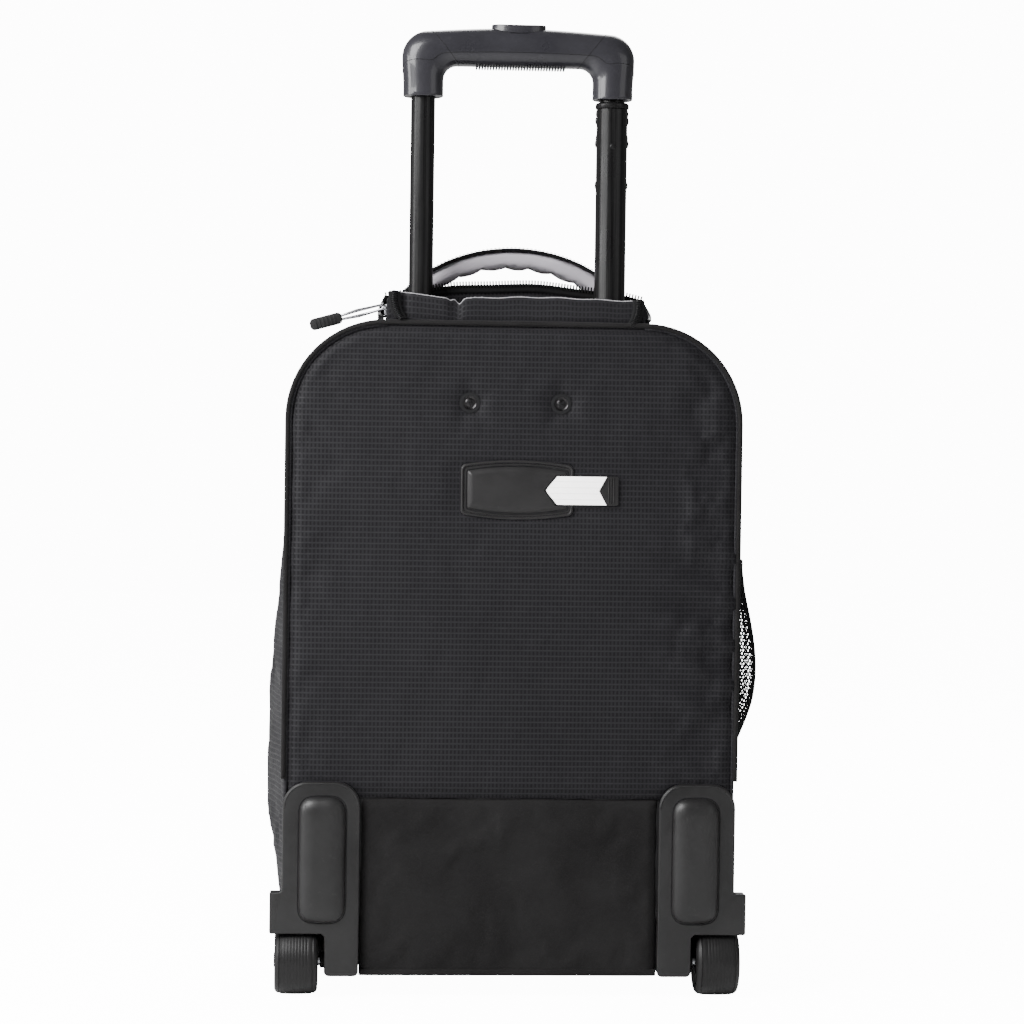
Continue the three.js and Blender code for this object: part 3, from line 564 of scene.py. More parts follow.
def tube(name, points, radius, finish, closed=False, sides=8):
    """A round cord through points."""
    curve = bpy.data.curves.new(name, "CURVE")
    curve.dimensions = "3D"
    spline = curve.splines.new("POLY")
    spline.points.add(len(points) - 1)
    for point, place in zip(spline.points, points):
        point.co = (*place, 1)
    spline.use_cyclic_u = closed
    curve.bevel_depth = radius
    curve.bevel_resolution = max(1, sides // 4 - 1)
    curve.use_fill_caps = True
    holder = linked(name + "_line", curve)
    view = bpy.context.evaluated_depsgraph_get()
    mesh = bpy.data.meshes.new_from_object(holder.evaluated_get(view))
    bpy.data.objects.remove(holder)
    bpy.data.curves.remove(curve)
    mesh.name = name
    mesh.materials.clear()
    made = outward(linked(name, mesh, finish))
    mesh.polygons.foreach_set("use_smooth", [True] * len(mesh.polygons))
    return settle(made)


def merged(name, parts):
    """Joins objects into one named piece."""
    bpy.ops.object.select_all(action="DESELECT")
    for part in parts:
        part.select_set(True)
    bpy.context.view_layer.objects.active = parts[0]
    bpy.ops.object.join()
    parts[0].name = name
    parts[0].data.name = name
    return parts[0]


def mirror_copy(obj, name):
    """The same piece on the other side of the case."""
    mesh = obj.data.copy()
    mesh.transform(Matrix.Scale(-1, 4, (1, 0, 0)))
    mesh.flip_normals()
    mesh.name = name
    return linked(name, mesh)


def begin_tree(name, source, lengths, vectors=()):
    """A Geometry Nodes tree with its inputs, its helper and the sockets that they come in on."""
    tree = bpy.data.node_groups.new(name, "GeometryNodeTree")
    face = tree.interface
    face.new_socket(source, in_out="INPUT", socket_type="NodeSocketGeometry")
    for label, default in lengths.items():
        socket = face.new_socket(label, in_out="INPUT", socket_type="NodeSocketFloat")
        socket.default_value = default * MM
        socket.subtype = "DISTANCE"
    for label in vectors:
        face.new_socket(label, in_out="INPUT", socket_type="NodeSocketVector")
    n = Nodes(tree)
    return n, n.add("NodeGroupInput").outputs


def end_tree(n, geometry, result, finish):
    """Gives the realized instances their finish and puts them out."""
    n.tree.interface.new_socket(result, in_out="OUTPUT", socket_type="NodeSocketGeometry")
    painted = n.out("GeometryNodeSetMaterial", Geometry=geometry, Material=FINISH[finish])
    n.add("NodeGroupOutput", {result: painted})
    return n.tree


def row_tree(name, shape, finish):
    """Geometry Nodes: small items set out along a line, each lying along it and facing a given way."""
    n, given = begin_tree(name, "Line", {"Spacing": 4, "Length": 2.6, "Width": 0.7, "Height": 0.5},
        ("Facing",))
    line = n.out("GeometryNodeMeshToCurve", Mesh=given["Line"])
    points = n.add("GeometryNodeCurveToPoints", {"Curve": line, "Length": given["Spacing"]}, mode="LENGTH")
    along = n.add("FunctionNodeAlignRotationToVector", {"Vector": points.outputs["Tangent"]}, axis="X")
    raised = n.add("FunctionNodeAlignRotationToVector",
        {"Rotation": along.outputs[0], "Vector": given["Facing"]}, axis="Z", pivot_axis="X")
    ball = shape == "BALL"
    item = (n.out("GeometryNodeMeshIcoSphere", Radius=0.5, Subdivisions=2) if ball
        else n.out("GeometryNodeMeshCube", Size=(1, 1, 1)))
    size = n.out("ShaderNodeCombineXYZ", X=given["Length"], Y=given["Width"], Z=given["Height"])
    placed = n.out("GeometryNodeInstanceOnPoints", Points=points.outputs["Points"], Instance=item,
        Rotation=raised.outputs[0], Scale=size)
    real = n.out("GeometryNodeRealizeInstances", Geometry=placed)
    soft = n.add("GeometryNodeSetShadeSmooth", {"Geometry": real, "Shade Smooth": ball}).outputs[0]
    return end_tree(n, soft, "Row", finish)


def grown(name, verts, edges, tree, **values):
    """Runs a Geometry Nodes tree on lines, with its inputs set by name, and keeps the plain mesh."""
    mesh = bpy.data.meshes.new(name)
    mesh.from_pydata(verts, edges, [])
    made = linked(name, mesh)
    modifier = modify(made, "NODES", node_group=tree)
    for item in tree.interface.items_tree:
        if item.item_type == "SOCKET" and item.in_out == "INPUT" and item.name in values:
            modifier[item.identifier] = values[item.name]
    return settle(made)


def row(name, lines, finish, spacing, size, facing=(0, -1, 0), shape="BALL"):
    """Stitches, teeth or ridges along one or more lines of points."""
    verts, edges = [], []
    for points in lines:
        first = len(verts)
        verts += [tuple(p) for p in points]
        edges += [(first + i, first + i + 1) for i in range(len(points) - 1)]
    length, width, height = size
    return grown(name, verts, edges, row_tree(name + "_row", shape, finish), Spacing=spacing, Length=length,
        Width=width, Height=height, Facing=facing)


def case_outline(inset, low, steps=14, side_steps=12):
    """The upright outline of the case from its left foot over the top to its right, as (x, z)."""
    side = HALF - inset
    radius = CORNER - inset
    points = [(-side, z) for z in spaced(low, ARC_Z, side_steps)[:-1]]
    points += [(x, z) for x, z in arc(-ARC_X, ARC_Z, radius, 180, 90, steps)]
    points += [(x, CASE_TOP - inset) for x in spaced(-ARC_X, ARC_X, 22)[1:-1]]
    points += arc(ARC_X, ARC_Z, radius, 90, 0, steps)
    points += [(side, z) for z in reversed(spaced(low, ARC_Z, side_steps)[:-1])]
    return points


def panel_half(z, inset=0.0):
    """Half the width of the outline at a height."""
    rise = z - ARC_Z
    if rise <= 0:
        return HALF - inset
    radius = CORNER - inset
    return ARC_X + sqrt(max(radius * radius - rise * rise, 0.0))


def panel_rows(low, count, first, steps):
    """Heights up a panel: evenly up to its shoulders, then by the angle of its corners."""
    return spaced(low, ARC_Z, count) + [ARC_Z + CORNER * sin(radians(a)) for a in spaced(first, 89.5,
        steps)]


def edge_distance(x, z, low):
    """How far a point of the back or the lid lies inside its outline."""
    side = HALF - abs(x)
    top = CASE_TOP - z
    if abs(x) > ARC_X and z > ARC_Z:
        side = top = CORNER - hypot(abs(x) - ARC_X, z - ARC_Z)
    return max(0.0, min(side, top, z - low))


def smooth(value, low, high):
    """Goes softly from 0 to 1 between two bounds."""
    t = min(max((value - low) / (high - low), 0.0), 1.0)
    return t * t * (3 - 2 * t)


def eased(value, low, high):
    """The same, with its bounds in millimetres."""
    return smooth(value, low * MM, high * MM)


def wrinkle(x, y, z, scale=30.0, seed=0.0):
    return noise.noise(Vector((x * scale + seed, y * scale, z * scale)))


def bulged(value, power):
    """A power that keeps the sign, which squares up a round section."""
    return copysign(abs(value) ** power, value)


def hill(x, z, cx, cz, wx, wz):
    return exp(-((x - cx) / wx) ** 2 - ((z - cz) / wz) ** 2)


# ---------------------------------------------------------------- cloth simulation
def simulated(obj, held, pressure=0.0, growth=0.0, bending=0.6, frames=20):
    """Steps Blender's Cloth on a mesh whose held vertices stay, and returns where its vertices end."""
    group = obj.vertex_groups.new(name="held")
    group.add([v.index for v in obj.data.vertices if held(v.co)], 1.0, "REPLACE")
    modifier = modify(obj, "CLOTH")
    cloth = modifier.settings
    cloth.quality = 6
    cloth.mass = 0.25
    cloth.tension_stiffness = cloth.compression_stiffness = 12
    cloth.bending_stiffness = bending
    cloth.vertex_group_mass = group.name
    cloth.effector_weights.gravity = 0
    cloth.shrink_min = -growth
    if pressure:
        cloth.use_pressure = True
        cloth.uniform_pressure_force = pressure
    modifier.collision_settings.use_collision = False
    modifier.point_cache.frame_start, modifier.point_cache.frame_end = 1, frames
    scene = bpy.context.scene
    for step in range(1, frames + 1):
        scene.frame_set(step)
    view = bpy.context.evaluated_depsgraph_get()
    shape = obj.evaluated_get(view)
    ends = [v.co.copy() for v in shape.data.vertices]
    obj.modifiers.remove(modifier)
    obj.vertex_groups.clear()
    scene.frame_set(1)
    return ends


def slack_map(name, x0, x1, z0, z1, held, growth, cap, cell=6 * MM, bending=0.6):
    """Simulates a slightly large flat cloth, held where held(x, z) is true, and gives its rise(x, z)."""
    wide, tall = max(8, round((x1 - x0) / cell)), max(8, round((z1 - z0) / cell))
    columns, rows = spaced(x0, x1, wide), spaced(z0, z1, tall)
    sheet = surface(name, lambda c, r: (c, 0.35 * MM * wrinkle(c, 12, r, 60.0), r), columns, rows, "plain")
    ends = simulated(sheet, lambda p: held(p.x, p.z), growth=growth, bending=bending)
    rise = [min(max(-p.y, -cap), cap) for p in ends]
    bpy.data.objects.remove(sheet)

    def at(x, z):
        u = min(max((x - x0) / (x1 - x0) * (wide - 1), 0.0), wide - 1.001)
        v = min(max((z - z0) / (z1 - z0) * (tall - 1), 0.0), tall - 1.001)
        i, j = int(u), int(v)
        fu, fv = smooth(u - i, 0, 1), smooth(v - j, 0, 1)
        low = rise[j * wide + i] * (1 - fu) + rise[j * wide + i + 1] * fu
        high = rise[(j + 1) * wide + i] * (1 - fu) + rise[(j + 1) * wide + i + 1] * fu
        return low * (1 - fv) + high * fv

    return at


# ---------------------------------------------------------------- what a user may change
def color_setting(name, description, default):
    return bpy.props.FloatVectorProperty(name=name, description=description, subtype="COLOR", size=3,
        default=default)


def length_setting(name, description, default, low, high):
    """A length, given in millimetres."""
    return bpy.props.FloatProperty(name=name, description=description, unit="LENGTH", default=default * MM,
        min=low * MM, max=high * MM)


def share_setting(name, description, default, high):
    return bpy.props.FloatProperty(name=name, description=description, subtype="FACTOR", default=default,
        min=0, max=high)


class CaseSettings(bpy.types.PropertyGroup):
    """Sizes and colours of the case"""

    fabric_color: color_setting("Ripstop", "Colour of the ripstop cloth", (0.0078, 0.0073, 0.0096))
    lower_color: color_setting("Plain cloth", "Colour of the plain cloth at the foot of the back",
        (0.0108, 0.0102, 0.0105))
    lining_color: color_setting("Grey lining", "Colour of the padded underside of the grab handle",
        (0.56, 0.53, 0.58))
    housing_color: color_setting("Housings", "Colour of the wheel housings", (0.0098, 0.0094, 0.0097))
    grip_color: color_setting("Grip", "Colour of the grip", (0.0215, 0.0207, 0.0255))
    tube_color: color_setting("Tubes", "Colour of the handle tubes", (0.0026, 0.0024, 0.0027))
    tag_color: color_setting("Name tag", "Colour of the card in the name tag", (0.95, 0.93, 0.92))
    ripstop_cell: length_setting("Ripstop cell", "Spacing of the dark ticks in the cloth", 3.05, 1, 10)
    ripstop_contrast: share_setting("Ripstop contrast", "How dark the ticks are", 0.78, 1)
    padding_crown: length_setting("Padding", "How far the padded back stands out in its middle", 2.0, 0, 6)
    side_swell: length_setting("Side swell", "How far the left side stands out where the load fills it",
        12.5, 0, 15)
    cloth_slack: share_setting("Cloth slack",
        "How much larger the cloth is cut than what it covers, as a share", 0.012, 0.05)
    stitch_pitch: length_setting("Stitch", "Distance from stitch to stitch", 3.4, 2, 8)
    tooth_pitch: length_setting("Zip tooth", "Distance from tooth to tooth of a zip", 1.9, 1, 5)
    net_pitch: length_setting("Net mesh", "Width of one diamond of the side pocket's net", 4.4, 2, 12)


def settings():
    return bpy.context.scene.laptop_case


# ---------------------------------------------------------------- the pieces
def back_depth(x, z, crown):
    """How far the padded back stands out of its base plane at a point."""
    inside = edge_distance(x, z, PANEL[0].z)
    rise = 3.4 * MM * eased(inside, 0, 11) + crown * eased(inside, 0, 120)
    rise += 0.4 * MM * wrinkle(x, 0, z, 9.0) + 0.12 * MM * wrinkle(x, 0, z, 40.0, 7.0)
    for screw in SCREWS:
        away = hypot(x - screw.x, z - screw.z)
        rise -= 4.2 * MM * exp(-(away / (10.5 * MM)) ** 2)
        spoke = cos(5 * atan2(z - screw.z, x - screw.x) + 1.0)
        rise += 0.35 * MM * spoke * exp(-((away - 14 * MM) / (8 * MM)) ** 2)
    slack = eased(x, 100, 160) * eased(z, 190, 240) * eased(-z, -390, -345)
    folds = sin((z * 1000 + 0.30 * x * 1000 + 6 * wrinkle(x, 1, z, 12.0)) / 5.2)
    rise += 2.4 * MM * slack * folds
    slack_left = eased(-x, 150, 174) * eased(z, 180, 230)
    rise += 0.4 * MM * slack_left * sin((z * 1000 - 0.5 * x * 1000) / 7.5)
    under = eased(x, -58, -44) * eased(-x, -142, -128) * eased(26 * MM - abs(z - TAG_Z), 0, 9)
    return rise - 1.3 * MM * under


class CASE_OT_back(bpy.types.Operator):
    """Padded ripstop back, plain lower panel, edge piping, seams and screws"""

    bl_idname = "laptop_case.back"
    bl_label = "Back"

    def execute(self, context):
        s = settings()
        base = BACK_Y + 3.4 * MM

        def held(x, z):
            by_screw = any(hypot(x - p.x, z - p.z) < 8 * MM for p in SCREWS)
            under_tag = -46 * MM < x < 136 * MM and abs(z - TAG_Z) < 27 * MM
            return edge_distance(x, z, PANEL[0].z) < 7 * MM or by_screw or under_tag

        slack = slack_map("back_slack", -HALF, HALF, PANEL[0].z, CASE_TOP, held, s.cloth_slack, 1.6 * MM)

        def depth(x, z):
            loose = 0.16 + 0.84 * eased(x, 105, 150) + 0.3 * eased(-x, 130, 160)
            return back_depth(x, z, s.padding_crown) + loose * slack(x, z)

        def place(c, r):
            x = c * panel_half(r, 0.6 * MM)
            return (x, base - depth(x, r), r)

        rows = panel_rows(PANEL[0].z, 120, 2, 36)
        columns = spaced(-1, 1, 171)
        panel = surface("back_padding", place, columns, rows, "ripstop", CLOTH,
            uv=lambda c, r: (c * panel_half(r), r))
        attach(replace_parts(panel, "back_panel"), "case")

        half = LOWER[1].x
        lower_slack = slack_map("lower_slack", -half, half, LOWER[0].z, LOWER[1].z,
            lambda x, z: min(half - abs(x), z - LOWER[0].z, LOWER[1].z - z) < 8 * MM, 0.6 * s.cloth_slack,
            0.8 * MM)

        def lower_place(c, r):
            x = c * half
            side = min(half - abs(x), LOWER[1].z - r + 1 * MM)
            y = base + 1.2 * MM - 2.4 * MM * eased(side, 0, 7) - 0.3 * MM * wrinkle(x, 3, r, 20.0)
            y -= lower_slack(x, r)
            return (x, y, r)

        lower = surface("lower_cloth", lower_place, spaced(-1, 1, 90),
            spaced(LOWER[0].z, LOWER[1].z + 0.3 * MM, 50), "plain", 2.4 * MM, uv=lambda c, r: (c * half, r))
        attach(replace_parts(lower, "lower_panel"), "case")
        hem = brick("lower_hem", (-half, base - 2.2 * MM, LOWER[0].z),
            (half, base + 2 * MM, LOWER[0].z + 5 * MM), "plain", 1.2 * MM)
        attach(hem, "case")

        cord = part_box("back_piping")
        radius = (cord[1].y - cord[0].y) / 2
        line = [(x, BACK_Y + radius, z) for x, z in case_outline(-radius + 1.1 * MM, cord[0].z, 16, 30)]
        piping = tube("edge_piping", line, radius, "plain", sides=16)
        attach(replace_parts(piping, "back_piping"), "case")

        seam_z = PANEL[0].z + 2.6 * MM
        seam = [(x, base - depth(x, seam_z) - 0.1 * MM, seam_z) for x in spaced(-HOUSING[0].x, HOUSING[0].x,
            120)]
        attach(row("seam_stitches", [seam], "thread", s.stitch_pitch, mm(2.3, 0.55, 0.5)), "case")
        self.edge_seam(s, base, depth)
        self.screws()
        return {"FINISHED"}

    def edge_seam(self, s, base, depth):
        """A row of stitches just inside the piping."""
        inset = 5 * MM
        line = [(x, base - depth(x, z) - 0.05 * MM, z) for x, z in case_outline(inset,
            HOUSING[1].z + 2 * MM, 16, 60)]
        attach(row("edge_stitches", [line], "thread", s.stitch_pitch, mm(2.2, 0.45, 0.35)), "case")

    def screws(self):
        for side, centre in zip(("left", "right"), SCREWS):
            low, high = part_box(f"back_screw_{side}")
            radius = (high.x - low.x) / 2
            face = low.y
            washer = turned(f"washer_{side}",
                [(2.4 * MM, 0), (radius, 0), (radius, -1.4 * MM), (radius - 0.8 * MM, -2.2 * MM),
                (radius - 1.6 * MM, -1.6 * MM), mm(2.4, -1.4)], "screw", "Y",
                (centre.x, face + 2.6 * MM, centre.z), 48)
            dome = [(0, 0)] + [(4.3 * MM * sin(radians(a)), -2.0 * MM * (1 - cos(radians(a))))
                for a in spaced(8, 80, 9)]
            dome += [mm(4.4, -2.8), (0, -2.8 * MM)]
            head = turned(f"screw_head_{side}", [(r, -h) for r, h in dome], "screw", "Y",
                (centre.x, face + 0.1 * MM, centre.z), 48)
            # Painted shade: the dark cross and the dark ring round the head, in the groove_shadow finish,
            # stand for the shade in the cross recess and in the well round the screw.
            arms = []
            for k in range(2):
                arm = brick(f"recess_{side}_{k}", mm(-2.5, -0.25, -0.5), mm(2.5, 0.9, 0.5), "groove",
                    0.12 * MM, 1)
                arm.data.transform(Matrix.Translation((centre.x, face + 0.15 * MM, centre.z))
                    @ Matrix.Rotation(radians(90 * k + (22 if side == "left" else 48)), 4, "Y"))
                arms.append(arm)
            shade = turned(f"screw_well_{side}",
                [(radius - 0.6 * MM, 0), (radius + 1.6 * MM, -0.3 * MM), (radius + 1.9 * MM, -1.2 * MM),
                (radius - 0.6 * MM, -1.2 * MM)], "groove", "Y", (centre.x, face + 1.2 * MM, centre.z), 48)
            screw = merged(f"screw_{side}", [head, washer, shade, *arms])
            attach(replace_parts(screw, f"back_screw_{side}"), "case")


class CASE_OT_sides(bpy.types.Operator):
    """Soft side and top walls as one shell, with the main zip round their front edge"""

    bl_idname = "laptop_case.sides"
    bl_label = "Sides and top"

    def execute(self, context):
        s = settings()
        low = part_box("side_gusset_left")[0].z
        well_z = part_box("back_board")[0].z
        well_y = HOUSING[1].y + 1 * MM
        outline = case_outline(0.0, low, 14, 60)
        outline = sorted_outline(outline, well_z)
        lengths = [0.0]
        for (x0, z0), (x1, z1) in zip(outline, outline[1:]):
            lengths.append(lengths[-1] + hypot(x1 - x0, z1 - z0))
        mouth_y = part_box("frame_cover")[1].y
        back = BACK_Y + 1.6 * MM
        rows = spaced(back, mouth_y, 12)[:-1] + spaced(mouth_y, well_y, 4)[:-1] + spaced(well_y, FRONT_Y,
            40)

        span = lengths[-1]
        slack = slack_map("side_slack", back, FRONT_Y, 0.0, span,
            lambda y, a: min(y - back, FRONT_Y - y, a, span - a) < 9 * MM, s.cloth_slack, 2.0 * MM, 7 * MM)

        def place(c, r):
            x, z = outline[c]
            depth = (r - back) / (FRONT_Y - back)
            belly = sin(pi * min(max(depth * 1.02, 0), 1))
            swell = self.swell(s, x, z) * belly
            fade = sin(pi * min(max(depth, 0.0), 1.0))
            ripple = (0.7 * MM * wrinkle(x, r, z, 14.0, 3.0) + 0.3 * MM
                * wrinkle(x, r, z, 40.0, 5.0)) * fade
            calm = 0.25 if x > 0 and 170 * MM < z < 350 * MM else 1.0
            ripple += calm * slack(r, lengths[c])
            out = Vector((copysign(1, x) if z < ARC_Z else 0, 0, 0))
            if z >= ARC_Z:
                pivot = Vector((copysign(min(abs(x), ARC_X), x), 0, ARC_Z))
                out = (Vector((x, 0, z)) - pivot).normalized()
            return Vector((x, r, z)) + out * (swell + ripple)

        def keep(p):
            in_mouth = abs(p.x) < ARC_X - 0.5 * MM and p.z > CASE_TOP - 12 * MM and p.y < mouth_y
            in_well = p.z < well_z and p.y < well_y
            return not (in_mouth or in_well)

        shell = surface("side_shell", place, list(range(len(outline))), rows, "ripstop", CLOTH, keep=keep,
            uv=lambda c, r: (r, lengths[c]))
        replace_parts(shell, "side_gusset_left", "side_gusset_right", "top_gusset")
        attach(shell, "case")
        self.front_zip(s, low)
        return {"FINISHED"}

    @staticmethod
    def swell(s, x, z):
        rise = eased(z, 52, 140) * eased(-z, -400, -215)
        if x < 0:
            return s.side_swell * rise
        return 2.6 * MM * rise * eased(-z, -250, -180)

    def front_zip(self, s, low):
        """Tape and teeth of the main zip, one row on the case and one on the lid."""
        start = LID[0].z + 2 * MM
        for body, edge, deep in (("case", FRONT_Y - 0.3 * MM, -1), ("lid", LID[0].y + 0.1 * MM, 1)):
            outline = case_outline(-0.7 * MM, start, 14, 30)
            wide = 8 * MM if body == "case" else 3.6 * MM
            tape = surface(f"zip_tape_{body}", lambda c, r, o=outline: (o[c][0], r, o[c][1]),
                list(range(len(outline))), spaced(*sorted((edge, edge + deep * wide)), 5), "tape", 0.7 * MM)
            outward(tape)
            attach(tape, body)
            tooth = case_outline(-1.6 * MM, start, 14, 4)
            line = [(x, edge + deep * 1.0 * MM, z) for x, z in tooth]
            teeth = row(f"zip_teeth_{body}", [line], "teeth", s.tooth_pitch, mm(1.0, 2.3, 1.5), (0, 1, 0),
                "BOX")
            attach(teeth, body)
            if body == "case":
                line = [(x, edge - wide + 1.5 * MM, z) for x, z in case_outline(-1.5 * MM, start, 14, 4)]
                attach(row("zip_stitches", [line], "thread", s.stitch_pitch, STITCH, (0, 1, 0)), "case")


def sorted_outline(outline, level):
    """Moves the nearest outline point on each side onto a level, so a cut there is straight."""
    moved = list(outline)
    for sign in (-1, 1):
        near = min((i for i, (x, z) in enumerate(moved) if x * sign > 0 and z < ARC_Z),
            key=lambda i: abs(moved[i][1] - level))
        moved[near] = (moved[near][0], level)
    return moved


class CASE_OT_front(bpy.types.Operator):
    """Front lid with its gusseted pocket and zip, the fold it hinges on and the low front wall"""

    bl_idname = "laptop_case.front"
    bl_label = "Front"

    def execute(self, context):
        s = settings()
        self.lid()
        self.pocket(s)
        self.fold()
        return {"FINISHED"}

    def lid(self):
        face = LID[1].y

        def held(x, z):
            behind_pocket = POCKET[0].x < x < POCKET[1].x and POCKET[0].z < z < POCKET[1].z
            return behind_pocket or edge_distance(x, z, LID[0].z) < 8 * MM

        slack = slack_map("lid_slack", -HALF, HALF, LID[0].z, CASE_TOP, held, settings().cloth_slack,
            1.0 * MM)

        def place(c, r):
            x = -c * panel_half(r, 0.6 * MM)
            inside = edge_distance(x, r, LID[0].z)
            rise = 2.6 * MM * eased(inside, 0, 10) + 0.3 * MM * wrinkle(x, 9, r, 18.0) + slack(x, r)
            return (x, face - 2.6 * MM + rise, r)

        rows = panel_rows(LID[0].z, 70, 3, 26)
        lid = surface("lid_cloth", place, spaced(-1, 1, 110), rows, "ripstop", CLOTH,
            uv=lambda c, r: (c * panel_half(r), r), inner="inside")
        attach(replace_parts(lid, "front_lid"), "lid")
        cord = [(x, face, z) for x, z in case_outline(0.2 * MM, LID[0].z, 16, 30)]
        piping = tube("lid_piping", cord, 1.7 * MM, "plain", sides=12)
        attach(piping, "lid")
        band = [(x, face + 0.1 * MM, z) for x, z in case_outline(7 * MM, LID[0].z + 4 * MM, 16, 40)]
        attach(row("lid_stitches", [band], "thread", settings().stitch_pitch, FINE_STITCH,
            (0, 1, 0)), "lid")

    def pocket(self, s):
        low, high = POCKET
        middle = Vector(((low.x + high.x) / 2, 0, (low.z + high.z) / 2))
        radius = 38 * MM
        outline = rounded(low.x, high.x, low.z, high.z, radius, 14)
        ring = []
        for (x0, z0), (x1, z1) in zip(outline, outline[1:] + outline[:1]):
            count = max(1, round(hypot(x1 - x0, z1 - z0) / (5 * MM)))
            ring += [(x0 + (x1 - x0) * i / count, z0 + (z1 - z0) * i / count) for i in range(count)]
        ring.append(ring[0])
        deep = high.y - low.y

        def inside(x, z):
            dx, dz = abs(x - middle.x), abs(z - middle.z)
            half_x, half_z = (high.x - low.x) / 2, (high.z - low.z) / 2
            if dx > half_x - radius and dz > half_z - radius:
                return radius - hypot(dx - half_x + radius, dz - half_z + radius)
            return min(half_x - dx, half_z - dz)

        slack = slack_map("pocket_slack", low.x, high.x, low.z, high.z,
            lambda x, z: inside(x, z) < 16 * MM or abs(z - POCKET_ZIP_Z) < 9 * MM and abs(x) < 128 * MM,
            1.6 * s.cloth_slack, 2.4 * MM)

        def place(c, r):
            x = middle.x + (ring[c][0] - middle.x) * r
            z = middle.z + (ring[c][1] - middle.z) * r
            d = max(0.0, inside(x, z))
            corner = min(d / (13 * MM), 1.0)
            rise = deep * (0.80 + 0.20 * eased(d, 0, 70)) * sqrt(max(0.0, 1 - (1 - corner) ** 2.4))
            rise += (0.8 * MM * wrinkle(x, 4, z, 15.0) + 0.4 * MM * wrinkle(x, 4, z, 38.0)) * corner
            mouth = exp(-((z - POCKET_ZIP_Z) / (6 * MM)) ** 2) * eased(-abs(x), -132, -120)
            return (x, low.y - 0.3 * MM + rise + slack(x, z) - 1.1 * MM * mouth, z)

        rows = [1.0, 0.995, 0.99, 0.985, 0.975, 0.965, 0.955, 0.94, 0.925, 0.91] + spaced(0.89, 0.0, 60)
        pocket = surface("pocket_cloth", place, list(range(len(ring))), rows, "ripstop")
        outward(pocket)
        self.face_up(pocket)
        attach(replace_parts(pocket, "front_pocket"), "lid")
        cord = [(middle.x + (x - middle.x) * 0.985, low.y + 0.845 * deep, middle.z + (z - middle.z) * 0.985)
            for x, z in ring[:-1]]
        piping = tube("pocket_piping", cord, 1.6 * MM, "plain", True, 12)
        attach(piping, "lid")
        self.pocket_zip(s, place, ring, middle)

    @staticmethod
    def face_up(obj):
        """Turns the sheet to look out of the lid."""
        total = sum(p.normal.y * p.area for p in obj.data.polygons)
        if total < 0:
            obj.data.flip_normals()

    def pocket_zip(self, s, place, ring, middle):
        half = 125 * MM
        z = POCKET_ZIP_Z
        xs = spaced(-half, half, 60)
        face = [place_at(place, ring, middle, x, z) + 0.3 * MM for x in xs]
        tape = surface("pocket_tape", lambda c, r: (-xs[c], face[c] + 0.2 * MM, r), list(range(60)),
            spaced(z - 7 * MM, z + 7 * MM, 4), "tape", 0.5 * MM)
        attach(tape, "lid")
        teeth = row("pocket_teeth", [[(x, y + 0.6 * MM, z) for x, y in zip(xs, face)]], "teeth",
            s.tooth_pitch, mm(1.0, 4.4, 1.5), (0, 1, 0), "BOX")
        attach(teeth, "lid")
        welts = [tube(f"welt_{i}", [(x, y + 0.2 * MM, z + rise) for x, y in zip(xs, face)], 1.5 * MM,
            "ripstop", sides=12) for i, rise in enumerate(mm(-5.5, 5.5))]
        ends = [brick(f"zip_end_{i}", (x - 3.4 * MM, face[0] - 1 * MM, z - 6.6 * MM),
            (x + 3.4 * MM, face[0] + 1.6 * MM, z + 6.6 * MM), "plain", 0.8 * MM)
            for i, x in enumerate((-half, half))]
        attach(merged("pocket_welts", welts + ends), "lid")
        lines = [[(x, y + 0.5 * MM, z + rise) for x, y in zip(xs, face)] for rise in mm(-8.5, 8.5)]
        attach(row("pocket_stitches", lines, "thread", s.stitch_pitch, FINE_STITCH, (0, 1, 0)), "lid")
        low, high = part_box("pocket_zip_slider")
        x = (low.x + high.x) / 2
        y = (low.y + high.y) / 2
        body = brick("slider_body", (low.x, low.y - 0.6 * MM, z - 3.6 * MM),
            (high.x, high.y - 0.6 * MM, z + 3.6 * MM), "zinc", 1.2 * MM, 3)
        bridge = brick("slider_bridge", (x - 3.4 * MM, high.y - 0.8 * MM, z - 1.1 * MM),
            (x + 3.4 * MM, high.y + 1.2 * MM, z + 1.1 * MM), "zinc", 0.7 * MM, 3)
        tab = self.pull_tab("slider_tab", x, y + 1.6 * MM, z)
        slider = merged("pocket_slider_piece", [body, bridge, tab])
        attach(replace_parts(slider, "pocket_zip_slider"), "pocket_slider")

    @staticmethod
    def pull_tab(name, x, y, z):
        """A cast tab that hangs from a slider."""
        outline = rounded(x - 2.6 * MM, x + 2.6 * MM, z - 24 * MM, z + 1.5 * MM, 2.4 * MM, 6)
        return block(name, outline, y - 0.2 * MM, y + 1.4 * MM, "zinc", 0.4 * MM, 2)

    def fold(self):
        """The strip of cloth that the lid turns on, and the wall below it."""
        low, high = KICK
        half = high.x
        top = LID[0].z

        def wall(c, r):
            x = -c * half
            inside = min(half - abs(x), r - low.z)
            return (x, high.y - 1.8 * MM + 1.8 * MM * eased(inside, 0, 6) + 0.3 * MM
                * wrinkle(x, 6, r, 20.0), r)

        kick = surface("kick_cloth", wall, spaced(-1, 1, 70), spaced(low.z, high.z, 16), "plain", 2.4 * MM)
        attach(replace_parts(kick, "front_kick_panel"), "case")
        fold = surface("fold_strip",
            lambda c, r: (-c, high.y + 0.25 * MM - 0.9 * MM * hill(0, r, 0, 54 * MM, 1, 3 * MM), r),
            spaced(-half + 3 * MM, half - 3 * MM, 60), spaced(high.z - 8 * MM, top + 9 * MM, 26), "plain",
            1.0 * MM)
        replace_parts(fold, "lid_fold")
        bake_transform(fold)


